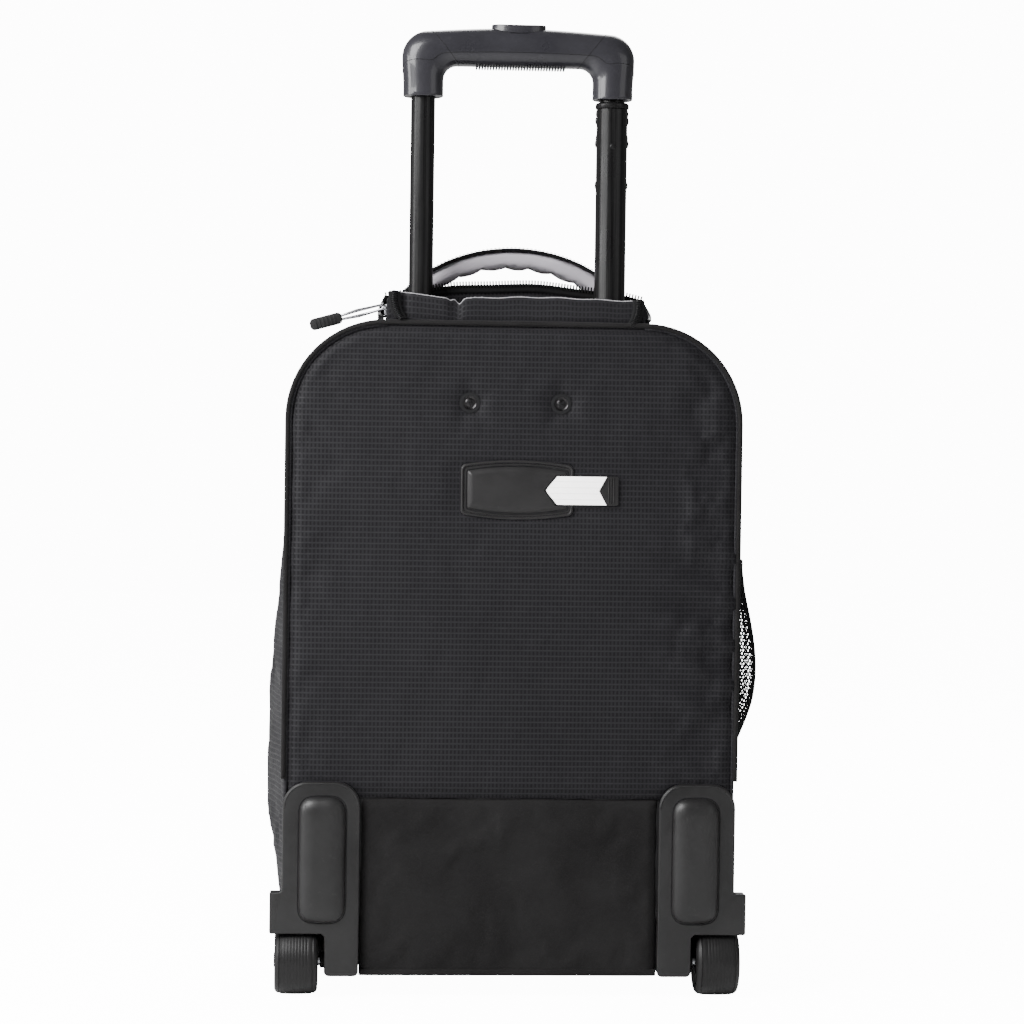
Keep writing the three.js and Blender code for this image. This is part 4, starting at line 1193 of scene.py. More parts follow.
def place_at(place, ring, middle, x, z):
    """The depth of a place(column, row) surface over a point, found along the ray from its middle."""
    best, at = None, None
    for c in range(len(ring) - 1):
        dx, dz = ring[c][0] - middle.x, ring[c][1] - middle.z
        length = hypot(dx, dz)
        away = abs(dx * (z - middle.z) - dz * (x - middle.x)) / length
        ahead = dx * (x - middle.x) + dz * (z - middle.z)
        if ahead >= 0 and (best is None or away < best):
            best, at = away, (c, ahead / length ** 2)
    return place(at[0], min(at[1], 1.0))[1]


class CASE_OT_mouth(bpy.types.Operator):
    """Handle pocket round the tubes: collar with its raw edge, hood with zip teeth, slider and pull"""

    bl_idname = "laptop_case.mouth"
    bl_label = "Handle pocket"

    def execute(self, context):
        s = settings()
        low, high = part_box("pocket_collar")
        self.half = high.x
        self.collar_y = (low.y + high.y) / 2
        self.low, self.high = low.z, high.z
        self.collar()
        self.hood(s)
        self.zip_ends(s)
        self.pull()
        return {"FINISHED"}

    def collar_place(self, x, v):
        """A point of the collar at a share v of its height."""
        edge = (0.8 * MM * sin(x / (24 * MM) + 0.8) + 0.35 * MM * sin(x / (5.1 * MM) + 1.3) + 3.2 * MM
            * eased(-x, 56, 84) - 4.2 * MM * exp(-((x + 45 * MM) / (2.8 * MM)) ** 2) - 1.6 * MM
            * exp(-((x + 52 * MM) / (2.2 * MM)) ** 2) - 5 * MM * smooth(abs(x), self.half - 7 * MM,
            self.half))
        z = self.low + (self.high - 1.5 * MM + edge - self.low) * v
        lean = 1.2 * MM * wrinkle(0.4 * x, 2, z, 40.0) + 0.5 * MM * sin(x / (19 * MM) + 3 * v)
        lean -= 1.5 * MM * exp(-((v - 0.52) / 0.10) ** 2) * (0.6 + 0.4 * sin(x / (30 * MM)))
        lean += 3.2 * MM * exp(-((x + 48 * MM) / (5 * MM)) ** 2)
        lean += 2.5 * MM * exp(-((x + 88 * MM) / (4 * MM)) ** 2)
        return Vector((x, self.collar_y - 1.2 * MM + lean * v ** 1.5, z))

    def collar(self):
        xs = spaced(-self.half, self.half, 220)
        collar = surface("collar_cloth", lambda c, r: self.collar_place(c, r), xs, spaced(0, 1, 26),
            "ripstop", 1.1 * MM, uv=lambda c, r: (c, r * (self.high - self.low)), inner="tape")
        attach(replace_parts(collar, "pocket_collar"), "case")
        edge_xs = spaced(-self.half + 3 * MM, self.half - 3 * MM, 300)

        def fringe(c, r):
            p = self.collar_place(c, 1.0)
            ragged = 0.5 * MM * noise.noise(Vector((c * 900, 0, 0)))
            return p + Vector((0, 0.1 * MM + 0.6 * MM * r, (-0.4 + 1.1 * r) * MM + ragged * r))

        edge = surface("collar_edge", fringe, edge_xs, spaced(0, 1, 4), "edge", 0.5 * MM)
        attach(edge, "case")

    def hood_top(self, x):
        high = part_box("pocket_hood")[1]
        return high.z + 3 * MM - 11 * MM * (x / high.x) ** 2 + 0.5 * MM * sin(x / (11 * MM))

    def hood(self, s):
        low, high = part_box("pocket_hood")
        y = (low.y + high.y) / 2

        def place(c, r):
            z = low.z + (self.hood_top(c) - low.z) * r
            return Vector((c, y + (1.2 * MM * wrinkle(c, 5, z, 20.0) - 1.5 * MM * r) * r, z))

        hood = surface("hood_cloth", place, spaced(-high.x, high.x, 160), spaced(0, 1, 20), "ripstop",
            1.2 * MM, uv=lambda c, r: (c, r * 0.03))
        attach(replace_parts(hood, "pocket_hood"), "case")
        tape = surface("hood_tape",
            lambda c, r: place(c, 1.0) + Vector((0, -0.6 * MM, -6 * MM + 6.6 * MM * r)),
            spaced(-high.x, high.x, 120), spaced(0, 1, 4), "tape", 0.6 * MM)
        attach(tape, "case")
        line = [place(x, 1.0) + Vector(mm(0, -0.8, 1.0)) for x in spaced(-high.x, high.x, 120)]
        teeth = row("hood_teeth", [line], "teeth", 1.25 * s.tooth_pitch, mm(1.2, 1.8, 4.6), (0, 0, 1),
            "BOX")
        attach(teeth, "case")

    def zip_ends(self, s):
        """The run of the zip from the hood to the collar at each end, and the closed slider on the left."""
        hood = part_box("pocket_hood")
        slider_low, slider_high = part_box("handle_zip_slider")
        at = (slider_low + slider_high) / 2
        pieces = []
        for side in (-1, 1):
            x = side * (self.half + 0.5 * MM)
            start = Vector((side * self.half, hood[0].y, hood[1].z - 9 * MM))
            end = Vector((x + side * 1.5 * MM, self.collar_y + 4 * MM, self.low + 14 * MM))
            line = []
            for t in spaced(0, 1, 24):
                p = start.lerp(end, t)
                p.x += side * 4.5 * MM * sin(pi * t)
                p.z -= 5 * MM * sin(pi * t)
                line.append(p)
            tape = surface(f"zip_end_tape_{side}", lambda c, r, l=line: l[c] + Vector((0, 0, -12 * MM * r)),
                list(range(24)), spaced(0, 1, 5), "ripstop", 1.1 * MM)
            teeth = row(f"zip_end_teeth_{side}", [[p + Vector((0, 0, 0.8 * MM)) for p in line]], "teeth",
                s.tooth_pitch, mm(1.1, 2.4, 1.9), (0, 0, 1), "BOX")
            pieces += [tape, teeth]
            top = self.collar_place(side * (self.half - 6 * MM), 1.0)
            drop = [top + Vector((side * (4 - 9 * t) * MM * t, -3.4 * MM - 1.4 * MM * t,
                1 * MM - 21 * MM * t)) for t in spaced(0, 1, 14)]
            chain = row(f"zip_drop_{side}", [drop], "teeth", 1.35 * MM, mm(1.0, 4.6, 2.2), (0, -1, 0))
            back = surface(f"zip_drop_tape_{side}",
                lambda c, r, d=drop: d[r] + Vector((c * 4.6 * MM, 1.2 * MM, 0)), spaced(-1, 1, 5),
                list(reversed(range(14))), "tape", 0.7 * MM)
            outward(back)
            pieces += [chain, back]
        ends = merged("zip_ends", pieces)
        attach(ends, "case")
        body = block("slider_shell",
            rounded(slider_low.x, slider_high.x, slider_low.z, slider_high.z, 2.4 * MM, 6), slider_low.y,
            slider_high.y, "zinc", 1.2 * MM, 3)
        loop = [Vector((at.x + 4.2 * MM * cos(a) - 1.5 * MM, slider_low.y - 1.2 * MM,
            at.z + 1.6 * MM * sin(a) + 1.5 * MM)) for a in spaced(0, TAU * 23 / 24, 24)]
        ring = tube("slider_loop", loop, 0.8 * MM, "zinc", True, 12)
        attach(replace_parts(merged("pocket_closer", [body, ring]), "handle_zip_slider"),
            "case")

    def pull(self):
        """A link and a ribbed rubber tip, lying out over the corner of the case."""
        low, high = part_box("handle_zip_pull")
        y = (low.y + high.y) / 2
        pin = Vector((-107 * MM, y, 543 * MM))
        rail = [Vector(mm(2, 0, 1.7)), Vector(mm(-18, 0, 2.2)), Vector(mm(-35, 0, 1.2)),
            Vector(mm(-35, 0, -1.2)), Vector(mm(-18, 0, -2.2)), Vector(mm(2, 0, -1.7))]
        link = tube("pull_link", rail, 1.3 * MM, "zinc", True, 12)
        tip = block("pull_tip", rounded(-57 * MM, -31 * MM, -4.6 * MM, 4.6 * MM, 3.6 * MM, 8), -2.4 * MM,
            2.4 * MM, "rubber", 1.0 * MM, 3)
        ribs = [brick(f"pull_rib_{i}", (x - 0.6 * MM, -2.9 * MM, -3.4 * MM),
            (x + 0.6 * MM, 2.9 * MM, 3.4 * MM), "rubber", 0.4 * MM, 2)
            for i, x in enumerate(spaced(-52 * MM, -37 * MM, 6))]
        piece = merged("pull_piece", [link, tip, *ribs])
        piece.data.transform(Matrix.Translation(pin) @ Matrix.Rotation(-0.27, 4, "Y"))
        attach(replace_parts(piece, "handle_zip_pull"), "zip_pull")


class CASE_OT_patch(bpy.types.Operator):
    """Moulded tag holder on the back with its card"""

    bl_idname = "laptop_case.patch"
    bl_label = "Name tag"

    def execute(self, context):
        low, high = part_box("tag_holder")
        self.middle = Vector(((low.x + high.x) / 2, 0, (low.z + high.z) / 2))
        self.half = (high.x - low.x) / 2
        self.face = low.y
        rim = self.outline(0)
        base = block("patch_base", rim, low.y + 1.8 * MM, high.y + 1.6 * MM, "patch", 0.8 * MM, 3)
        border = [(x, low.y + 1.9 * MM, z) for x, z in self.outline(1.1 * MM)]
        bead = tube("patch_bead", border, 1.15 * MM, "patch", True, 12)
        # Painted shade: a dark cord in the groove_shadow finish round the foot of the raised panel stands
        # for the shade in the stitched groove.
        inner = [(x, low.y + 1.8 * MM, z) for x, z in self.outline(4.2 * MM)]
        groove = tube("patch_groove", inner, 0.55 * MM, "groove", True, 8)
        tag_low, tag_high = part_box("name_tag")
        zs = (tag_low.z - 0.5 * MM, tag_high.z + 0.5 * MM)
        panel = self.panel(low.y - 0.9 * MM, low.y + 2.2 * MM, high.y, zs)
        holder = merged("patch_piece", [base, bead, groove, panel])
        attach(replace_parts(holder, "tag_holder"), "case")
        line = [(x, low.y + 1.7 * MM, z) for x, z in self.outline(2.5 * MM)]
        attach(row("patch_stitches", [line + [line[0]]], "thread", 2.6 * MM, mm(1.8, 0.5, 0.5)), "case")
        self.card(tag_low, tag_high)
        return {"FINISHED"}

    def outline(self, inset, steps=14):
        """The bowed outline of the holder, drawn in by an inset."""
        half = self.half - inset
        side, middle = 19.6 * MM - inset, 23.4 * MM - inset
        radius = max(4.6 * MM - inset * 0.5, 1.2 * MM)
        points = []
        for sz in (-1, 1):
            xs = spaced(-half + radius, half - radius, steps + 1)
            if sz > 0:
                xs.reverse()
            line = [(x, sz * (middle - (middle - side) * (x / half) ** 2)) for x in xs]
            for (x, z), start in ((line[0], 180 if sz < 0 else 0), (line[-1], -90 if sz < 0 else 90)):
                turn = arc(copysign(half - radius, x), z - sz * radius, radius, start, start + 90, 5)
                points += turn + line[1:-1] if x == line[0][0] else turn
        return [(self.middle.x + x, self.middle.z + z) for x, z in points]

    def panel(self, face, rim, foot, zs):
        """The raised panel: a wide slope up to its face, with a pointed bay for the card on the right."""
        rings = [(self.outline(4.6 * MM), foot), (self.outline(4.6 * MM), rim),
            (self.outline(5.4 * MM), face + 2 * MM), (self.outline(8.0 * MM), face + 0.5 * MM),
            (self.outline(9.6 * MM), face)]
        count = len(rings[0][0])
        verts = [(x, y, z) for ring, y in rings for x, z in ring]
        faces = [tuple(range(count)), tuple(range(len(verts) - 1, len(verts) - 1 - count, -1))]
        for i in range(len(rings) - 1):
            a = i * count
            faces += [(a + k, a + count + k, a + count + (k + 1) % count, a + (k + 1) % count)
                for k in range(count)]
        made = settle(outward(make_object("patch_panel", verts, faces, "patch")))
        middle, right = (zs[0] + zs[1]) / 2, 60 * MM
        bay = [(right, zs[0]), (32 * MM, zs[0]), (24.2 * MM, middle - 2 * MM), (23 * MM, middle),
            (24.2 * MM, middle + 2 * MM), (32 * MM, zs[1]), (right, zs[1])]
        carve(made, block("bay", bay, face - 5 * MM, foot + 5 * MM, "patch"))
        return sharp_edges(made, 40)

    def card(self, low, high):
        """The white card with its notched end, on a ribbed dark tab."""
        middle = (low.z + high.z) / 2
        half = (high.z - low.z) / 2 - 0.6 * MM
        left, right = 24.5 * MM, 71 * MM
        outline = [(left + 9 * MM, middle - half), (right + 1.5 * MM, middle - half),
            (right - 4.5 * MM, middle), (right + 1.5 * MM, middle + half), (left + 9 * MM, middle + half),
            (left + 1.6 * MM, middle + 2.2 * MM), (left + 0.4 * MM, middle),
            (left + 1.6 * MM, middle - 2.2 * MM)]
        card = block("card_white", outline, low.y - 1.4 * MM, low.y + 0.4 * MM, "card", 0.2 * MM, 2)
        tab = block("card_tab", rounded(52 * MM, high.x, middle - half - 0.3 * MM, middle + half + 0.3 * MM,
            1.6 * MM, 4), low.y, high.y, "patch", 0.35 * MM, 2)
        tongue = brick("card_tongue", (low.x, low.y + 0.3 * MM, middle - half),
            (54 * MM, high.y - 0.1 * MM, middle + half), "board", 0.2 * MM, 1)
        ribs = [brick(f"card_rib_{i}", (x - 0.45 * MM, low.y - 0.6 * MM, middle - half + 0.8 * MM),
            (x + 0.45 * MM, low.y + 0.3 * MM, middle + half - 0.8 * MM), "patch", 0.25 * MM, 1)
            for i, x in enumerate(mm(74.3, 76.3, 78.3))]
        piece = merged("card_piece", [card, tab, tongue, *ribs])
        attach(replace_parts(piece, "name_tag"), "tag")


def bezier(a, b, c, d, t):
    u = 1 - t
    return a * u ** 3 + 3 * b * u * u * t + 3 * c * u * t * t + d * t ** 3


class CASE_OT_grab_handle(bpy.types.Operator):
    """Grab handle over the top: a webbing band with a stuffed underside, sewn down by tabs at its ends"""

    bl_idname = "laptop_case.grab_handle"
    bl_label = "Grab handle"

    def execute(self, context):
        low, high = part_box("grab_handle")
        self.low, self.high = low, high
        self.middle = (low.y + high.y) / 2
        self.half = (high.y - low.y) / 2
        count = 160
        ts = spaced(0.02, 0.98, count)
        band = self.swept("webbing_band", ts, lambda t, p: (self.half, 1.5 * MM, 0.0), "tape", 20)
        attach(band, "grab")
        pad = self.swept("grab_padding", spaced(0.045, 0.955, count), self.pad_size, "lining", 28)
        self.stuff(pad)
        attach(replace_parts(pad, "grab_handle"), "grab")
        lines = [[self.spine(t) + self.up(t) * 1.7 * MM + Vector((0, side * (self.half - 2.6 * MM), 0))
            for t in ts] for side in (-1, 1)]
        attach(row("band_stitches", lines, "thread", 3.2 * MM, mm(2.2, 0.6, 0.6), (0, 0, 1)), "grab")
        self.tabs()
        return {"FINISHED"}

    def stuff(self, pad):
        """Blows the padding up a little between its sewn edges, as its foam does."""
        starts = [v.co.copy() for v in pad.data.vertices]

        def held(p):
            nearest = min((self.spine(t) for t in spaced(0.05, 0.95, 60)),
                key=lambda q: (q - p).length_squared)
            return abs(p.y - self.middle) > 14.6 * MM or (p - nearest).length < 4 * MM or abs(p.x) > 84 * MM

        for vertex, start, end in zip(pad.data.vertices, starts, simulated(pad, held, 4.0, 0.02, 0.6)):
            move = end - start
            vertex.co = start + move * min(1.0, 1.2 * MM / max(move.length, 1e-9))

    def spine(self, t):
        """Middle of the webbing band at a share of the way over."""
        foot = self.low.z + 1 * MM
        reach = self.high.x - 1 * MM
        crown = self.high.z + 1.6 * MM
        if t <= 0.5:
            k = t * 2
            x = bezier(-reach, -reach + 22 * MM, -34 * MM, 0.0, k)
            z = bezier(foot, foot + 46 * MM, crown, crown, k)
        else:
            k = (1 - t) * 2
            x = -bezier(-reach, -reach + 22 * MM, -34 * MM, 0.0, k)
            z = bezier(foot, foot + 46 * MM, crown, crown, k)
        return Vector((x, self.middle, z))

    def up(self, t):
        ahead = self.spine(min(t + 0.004, 1)) - self.spine(max(t - 0.004, 0))
        ahead.normalize()
        return Vector((-ahead.z, 0, ahead.x))

    @staticmethod
    def pad_size(t, point):
        """Half width, half thickness and drop of the stuffing at a share of the way over."""
        ends = smooth(min(t - 0.045, 0.955 - t), 0.0, 0.10)
        pillow = abs(sin(pi * (point.x + 6 * MM) / (21 * MM)))
        soft = 0.6 * MM * wrinkle(point.x, 0, 0, 70.0, 11.0)
        thick = (1.2 * MM + (5.0 * MM + 0.4 * MM * pillow + soft) * ends)
        return (16.2 * MM, thick, 1.4 * MM + thick)

    def swept(self, name, ts, size, finish, around):
        """A rounded section carried along the band."""
        verts = []
        for t in ts:
            p, up = self.spine(t), self.up(t)
            wide, thick, drop = size(t, p)
            for k in range(around):
                a = TAU * k / around
                c, s = cos(a), sin(a)
                y = wide * bulged(c, 0.45)
                z = thick * bulged(s, 0.7)
                if s < 0:
                    z += 0.5 * MM * wrinkle(p.x, y, 0, 70.0, 2.0)
                verts.append(p + Vector((0, y, 0)) + up * (z - drop))
        return lofted(name, verts, around, finish)

    def tabs(self):
        """Doubled ends of the webbing on the top of the case, with their stitching."""
        parts, lines = [], []
        for side in (-1, 1):
            x0, x1 = sorted((side * 84 * MM, side * 122 * MM))
            z = self.low.z + 0.2 * MM

            def place(c, r):
                drop = 0.0
                if abs(c) > ARC_X:
                    drop = CORNER - sqrt(max(CORNER ** 2 - (abs(c) - ARC_X) ** 2, 0))
                return (c, r, z - drop + 0.9 * MM)

            tab = surface(f"tab_{side}", place, spaced(x0, x1, 14),
                spaced(self.middle - self.half + 1 * MM, self.middle + self.half - 1 * MM, 12), "tape",
                1.6 * MM)
            outward(tab)
            parts.append(tab)
            y0, y1 = self.middle - self.half + 4 * MM, self.middle + self.half - 4 * MM
            xa, xb = side * 104 * MM, side * 119 * MM
            for pair in (((xa, y0), (xb, y0)), ((xb, y0), (xb, y1)), ((xb, y1), (xa, y1)),
                    ((xa, y1), (xa, y0)), ((xa, y0), (xb, y1)), ((xa, y1), (xb, y0))):
                (ax, ay), (bx, by) = pair
                line = []
                for t in spaced(0, 1, 8):
                    p = Vector(place(ax + (bx - ax) * t, ay + (by - ay) * t))
                    line.append(p + Vector((0, 0, 0.2 * MM)))
                lines.append(line)
        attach(merged("grab_tabs", parts), "case")
        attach(row("tab_stitches", lines, "thread", 2.6 * MM, mm(2.0, 0.6, 0.6), (0, 0, 1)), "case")


def net_tree():
    """Geometry Nodes: turns every edge of a lattice into round yarn."""
    n, given = begin_tree("side_net", "Lattice", {"Yarn": 0.3})
    line = n.out("GeometryNodeMeshToCurve", Mesh=given["Lattice"])
    ring = n.out("GeometryNodeCurvePrimitiveCircle", Resolution=5, Radius=given["Yarn"])
    yarn = n.add("GeometryNodeCurveToMesh", {"Curve": line, "Profile Curve": ring, "Fill Caps": True})
    real = n.out("GeometryNodeRealizeInstances", Geometry=yarn.outputs[0])
    return end_tree(n, real, "Net", "net")


class CASE_OT_side_pocket(bpy.types.Operator):
    """Net pocket on the right side with its bound edges"""

    bl_idname = "laptop_case.side_pocket"
    bl_label = "Side pocket"

    def execute(self, context):
        s = settings()
        low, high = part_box("mesh_pocket")
        self.low, self.high = low, high
        columns = round((high.y - low.y - 6 * MM) / s.net_pitch)
        rows = round((high.z - low.z - 10 * MM) / (s.net_pitch * 1.25))
        ys = spaced(low.y + 3 * MM, high.y - 3 * MM, 2 * columns + 1)
        zs = spaced(low.z + 4 * MM, high.z - 6 * MM, 2 * rows + 1)
        index, verts, edges = {}, [], []

        def at(i, j):
            if (i, j) not in index:
                index[i, j] = len(verts)
                verts.append(tuple(self.place(ys[i], zs[j])))
            return index[i, j]

        for i in range(2 * columns):
            for j in range(2 * rows):
                if (i + j) % 2 == 0:
                    edges.append((at(i, j), at(i + 1, j + 1)))
                else:
                    edges.append((at(i, j + 1), at(i + 1, j)))
        net = grown("side_net", verts, edges, net_tree(), Yarn=0.55 * MM)
        net.data.polygons.foreach_set("use_smooth", [True] * len(net.data.polygons))
        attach(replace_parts(net, "mesh_pocket"), "case")
        bands = []
        for name, points in self.edges().items():
            bands.append(self.binding(name, points))
        binding = merged("net_binding", bands)
        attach(binding, "case")
        top = [self.place(y, high.z - 3 * MM) + Vector((1.0 * MM, 0, 0)) for y in spaced(low.y, high.y, 40)]
        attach(row("net_stitches", [top], "thread", s.stitch_pitch, STITCH, (1, 0, 0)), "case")
        return {"FINISHED"}

    def place(self, y, z):
        """A point of the net: flat at the side edges and foot, standing out to the elastic top."""
        low, high = self.low, self.high
        side = min(y - low.y, high.y - y)
        out = eased(side, 0, 26)
        lift = smooth(z, low.z, low.z + 60 * MM) - 0.18 * smooth(z, high.z - 60 * MM, high.z)
        belly = 12.5 * MM * hill(y, z, low.y + 32 * MM, 258 * MM, 30 * MM, 56 * MM)
        x = HALF + 2.4 * MM + (high.x - HALF - 3.6 * MM) * out * lift + belly
        return Vector((x + 0.3 * MM * wrinkle(0, y, z, 40.0), y, z))

    def edges(self):
        low, high = self.low, self.high
        ys = spaced(low.y, high.y, 40)
        zs = spaced(low.z, high.z, 40)
        return {"top": [self.place(y, high.z - 3 * MM) for y in ys],
            "foot": [self.place(y, low.z + 3 * MM) for y in ys],
            "back": [self.place(low.y + 1.5 * MM, z) for z in zs],
            "front": [self.place(high.y - 1.5 * MM, z) for z in zs]}

    def binding(self, name, points):
        """A folded tape along an edge of the net."""
        verts = []
        half, thick = mm(4.0, 0.9) if name == "top" else mm(2.6, 0.8)
        around = 12
        for i, p in enumerate(points):
            ahead = (points[min(i + 1, len(points) - 1)] - points[max(i - 1, 0)]).normalized()
            out = Vector((1, 0, 0))
            across = ahead.cross(out).normalized()
            for k in range(around):
                a = TAU * k / around
                c, s = cos(a), sin(a)
                verts.append(p + across * half * bulged(c, 0.5) + out * thick * s)
        return lofted(f"net_edge_{name}", verts, around, "tape")


class CASE_OT_handle(bpy.types.Operator):
    """Telescopic tubes and the arched grip with its release button"""

    bl_idname = "laptop_case.handle"
    bl_label = "Telescopic handle"

    def execute(self, context):
        for side, sign in (("left", -1), ("right", 1)):
            self.stage(side, sign)
        self.grip()
        self.button()
        return {"FINISHED"}

    def stage(self, side, sign):
        x = sign * TUBE_X
        low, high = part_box(f"outer_tube_{side}")
        outer = (high.x - low.x) / 2
        sleeve = turned(f"outer_sleeve_{side}",
            [(outer - 1.2 * MM, low.z), (outer, low.z), (outer, high.z), (outer - 1.2 * MM, high.z)],
            "tube", "Z", (x, HANDLE_Y, 0))
        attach(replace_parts(sleeve, f"outer_tube_{side}"), "case")
        low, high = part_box(f"middle_tube_{side}")
        bush = (high.x - low.x) / 2
        radius = MIDDLE_TUBE
        bore = radius - 1.2 * MM
        tube_piece = turned(f"middle_stage_{side}",
            [(bore, low.z), (bush, low.z), (bush, low.z + 18 * MM), (radius, low.z + 20 * MM),
            (radius, high.z - 0.2 * MM), (bore, high.z - 0.2 * MM)], "tube", "Z", (x, HANDLE_Y, 0))
        bumps = []
        for drop, out in ((3.5, 0.8), (9, 1.2), (23, 0.7), (27, 1.3), (60, 1.0)):
            for way in (-1, 1):
                bumps.append(ellipsoid(f"crimp_{side}_{drop}_{way}",
                    (x + way * (radius - 0.3 * MM), HANDLE_Y, high.z - drop * MM),
                    (out * MM + 0.3 * MM, 2.6 * MM, 3.4 * MM), "tube", 2))
        bumps.append(ellipsoid(f"latch_{side}", (x, HANDLE_Y - radius + 0.5 * MM, high.z - 30 * MM),
            mm(2.6, 1.0, 2.6), "tube", 3))
        middle = merged(f"middle_stage_{side}", [tube_piece, *bumps])
        body = f"stage_{side}"
        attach(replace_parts(middle, f"middle_tube_{side}"), body)
        low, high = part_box(f"middle_cap_{side}")
        rim = (high.x - low.x) / 2 + 0.35 * MM
        hole_radius = INNER_TUBE + 0.3 * MM
        cap = turned(f"stage_rim_{side}",
            [(hole_radius, low.z), (rim, low.z), (rim + 0.25 * MM, low.z + 0.8 * MM),
            (rim + 0.25 * MM, high.z - 1.4 * MM), (rim - 0.4 * MM, high.z - 0.4 * MM),
            (rim - 1.2 * MM, high.z), (hole_radius, high.z)], "tube", "Z", (x, HANDLE_Y, 0))
        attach(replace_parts(cap, f"middle_cap_{side}"), body)
        low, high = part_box(f"inner_tube_{side}")
        guide = (high.x - low.x) / 2
        radius = INNER_TUBE
        inner = turned(f"inner_stage_{side}",
            [(0, low.z), (guide, low.z), (guide, low.z + 14 * MM), (radius, low.z + 15 * MM),
            (radius, high.z), (radius - 1.2 * MM, high.z), (radius - 1.2 * MM, low.z + 14 * MM),
            (0, low.z + 14 * MM)], "tube", "Z", (x, HANDLE_Y, 0))
        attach(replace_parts(inner, f"inner_tube_{side}"), "grip")

    def rails(self, count=(14, 12, 40)):
        """Paired points along the outer and inner outline of the grip, from its left mouth to its right."""
        bottom = GRIP_LOW[0].z
        half = GRIP_HIGH[1].x
        top = GRIP_HIGH[1].z + 0.6 * MM
        socket = 15.8 * MM
        under = bottom + 24 * MM
        out_r, in_r = 21 * MM, 11 * MM
        inner_x = TUBE_X - socket
        outer, inner = [], []
        for t in spaced(0, 1, count[0])[:-1]:
            flare = (half - TUBE_X - socket) * smooth(t, 0.2, 1)
            outer.append((TUBE_X + socket + flare, bottom + (top - 3.2 * MM - out_r - bottom) * t))
            inner.append((inner_x, bottom + (under - in_r - bottom) * t))
        for a in spaced(0, 90, count[1]):
            outer.append((half - out_r + out_r * cos(radians(a)),
                top - 3.2 * MM - out_r + out_r * sin(radians(a))))
            inner.append((inner_x - in_r + in_r * cos(radians(a)), under - in_r + in_r * sin(radians(a))))
        for t in spaced(0, 1, count[2])[1:]:
            outer_x = (half - out_r) * (1 - t)
            dome = 3.2 * MM * sin(t * pi / 2)
            outer.append((outer_x, top - 3.2 * MM + dome))
            inner.append(((inner_x - in_r) * (1 - t), under))
        right = list(zip(outer, inner))
        left = [((-ox, oz), (-ix, iz)) for (ox, oz), (ix, iz) in right]
        return left + list(reversed(right))[1:]

    def shape(self, pair, angle, grow=0.0):
        """A point on the skin of the grip; the angle is 0 outside, 90 degrees at the back of the hand."""
        (ox, oz), (ix, iz) = pair
        centre = Vector(((ox + ix) / 2, HANDLE_Y, (oz + iz) / 2))
        out = Vector((ox - ix, 0, oz - iz))
        radius = out.length / 2
        out.normalize()
        c, s = cos(angle), sin(angle)
        power = 0.88
        c = bulged(c, power)
        s = bulged(s, power)
        return centre + out * (radius + grow) * c + Vector((0, -(15 * MM + grow) * s, 0))

    def grip(self):
        rails = self.rails()
        around = 40
        bottom = GRIP_LOW[0].z
        verts = [self.shape(pair, TAU * k / around) for pair in rails for k in range(around)]
        rings = len(rails)
        faces = ring_faces(rings, around)
        # Each mouth turns in over a small bevel to a bore for the tube.
        for end, ring in ((-1, 0), (1, rings - 1)):
            centre = Vector((end * TUBE_X, HANDLE_Y, bottom))
            previous = [ring * around + k for k in range(around)]
            for radius, rise in (mm(14.9, -0.6), mm(10.4, -0.6), mm(9.9, 0.2), mm(9.9, 18)):
                first = len(verts)
                for k in range(around):
                    way = verts[ring * around + k] - centre
                    way.z = 0
                    verts.append(centre + way.normalized() * radius + Vector((0, 0, rise)))
                following = list(range(first, first + around))
                for k in range(around):
                    j = (k + 1) % around
                    faces.append((previous[k], previous[j], following[j], following[k]))
                previous = following
            faces.append(tuple(previous))
        body = sharp_edges(settle(outward(make_object("grip_body", verts, faces, "grip"))), 50)
        # Painted shade: the parting lines and elbow seams are thin dark cords in the groove_shadow finish,
        # standing for the shade in their hairline joints.
        lines = []
        for way in (1, -1):
            line = []
            for i in range(8, rings - 8):
                ahead = smooth(min(i, rings - 1 - i), 8, 18)
                line.append(self.shape(rails[i], way * radians(6 + 100 * ahead), 0.02 * MM))
            lines.append(tube(f"parting_{way}", line, 0.22 * MM, "groove", sides=6))
        for index in (25, rings - 26):
            ring = [self.shape(rails[index], TAU * k / 48, 0.02 * MM) for k in range(48)]
            lines.append(tube(f"elbow_seam_{index}", ring, 0.22 * MM, "groove", True, 6))
        ridges = row("grip_ridges", [[(x, HANDLE_Y, GRIP_LOW[0].z + 23.4 * MM) for x in mm(-33, 36)]],
            "grip", 2.2 * MM, mm(1.6, 17, 3.6), (0, 0, 1))
        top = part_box("release_button")[1].z
        carve(body, self.plug("button_well", top - 16 * MM, top + 9 * MM, 0.4 * MM, 0))
        whole = merged("grip_piece", [body, *lines, ridges])
        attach(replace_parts(whole, "grip_upper", "grip_lower"), "grip")

    @staticmethod
    def plug(name, low, high, grow, bevel):
        """An upright oval solid between two heights, as wide as the button and grown all round."""
        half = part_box("release_button")[1].x + grow
        deep = 11 * MM + grow
        outline = [(half * bulged(cos(a), 0.8), deep * sin(a)) for a in spaced(0, TAU * 71 / 72, 72)]
        made = block(name, outline, low, high, "grip", bevel, 3)
        made.data.transform(Matrix.Translation((0, HANDLE_Y, 0)) @ Matrix.Rotation(pi / 2, 4, "X"))
        return made

    def button(self):
        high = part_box("release_button")[1]
        button = self.plug("button_cap", high.z - 11 * MM, high.z, 0, 0.9 * MM)
        for v in button.data.vertices:
            if v.co.z > high.z - 2 * MM:
                v.co.z -= 0.9 * MM * (1 - (v.co.x / high.x) ** 2)
        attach(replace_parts(button, "release_button"), "button")


def across(low, high):
    """The line across the case that a wheel part turns on."""
    return 0, (low.y + high.y) / 2, (low.z + high.z) / 2


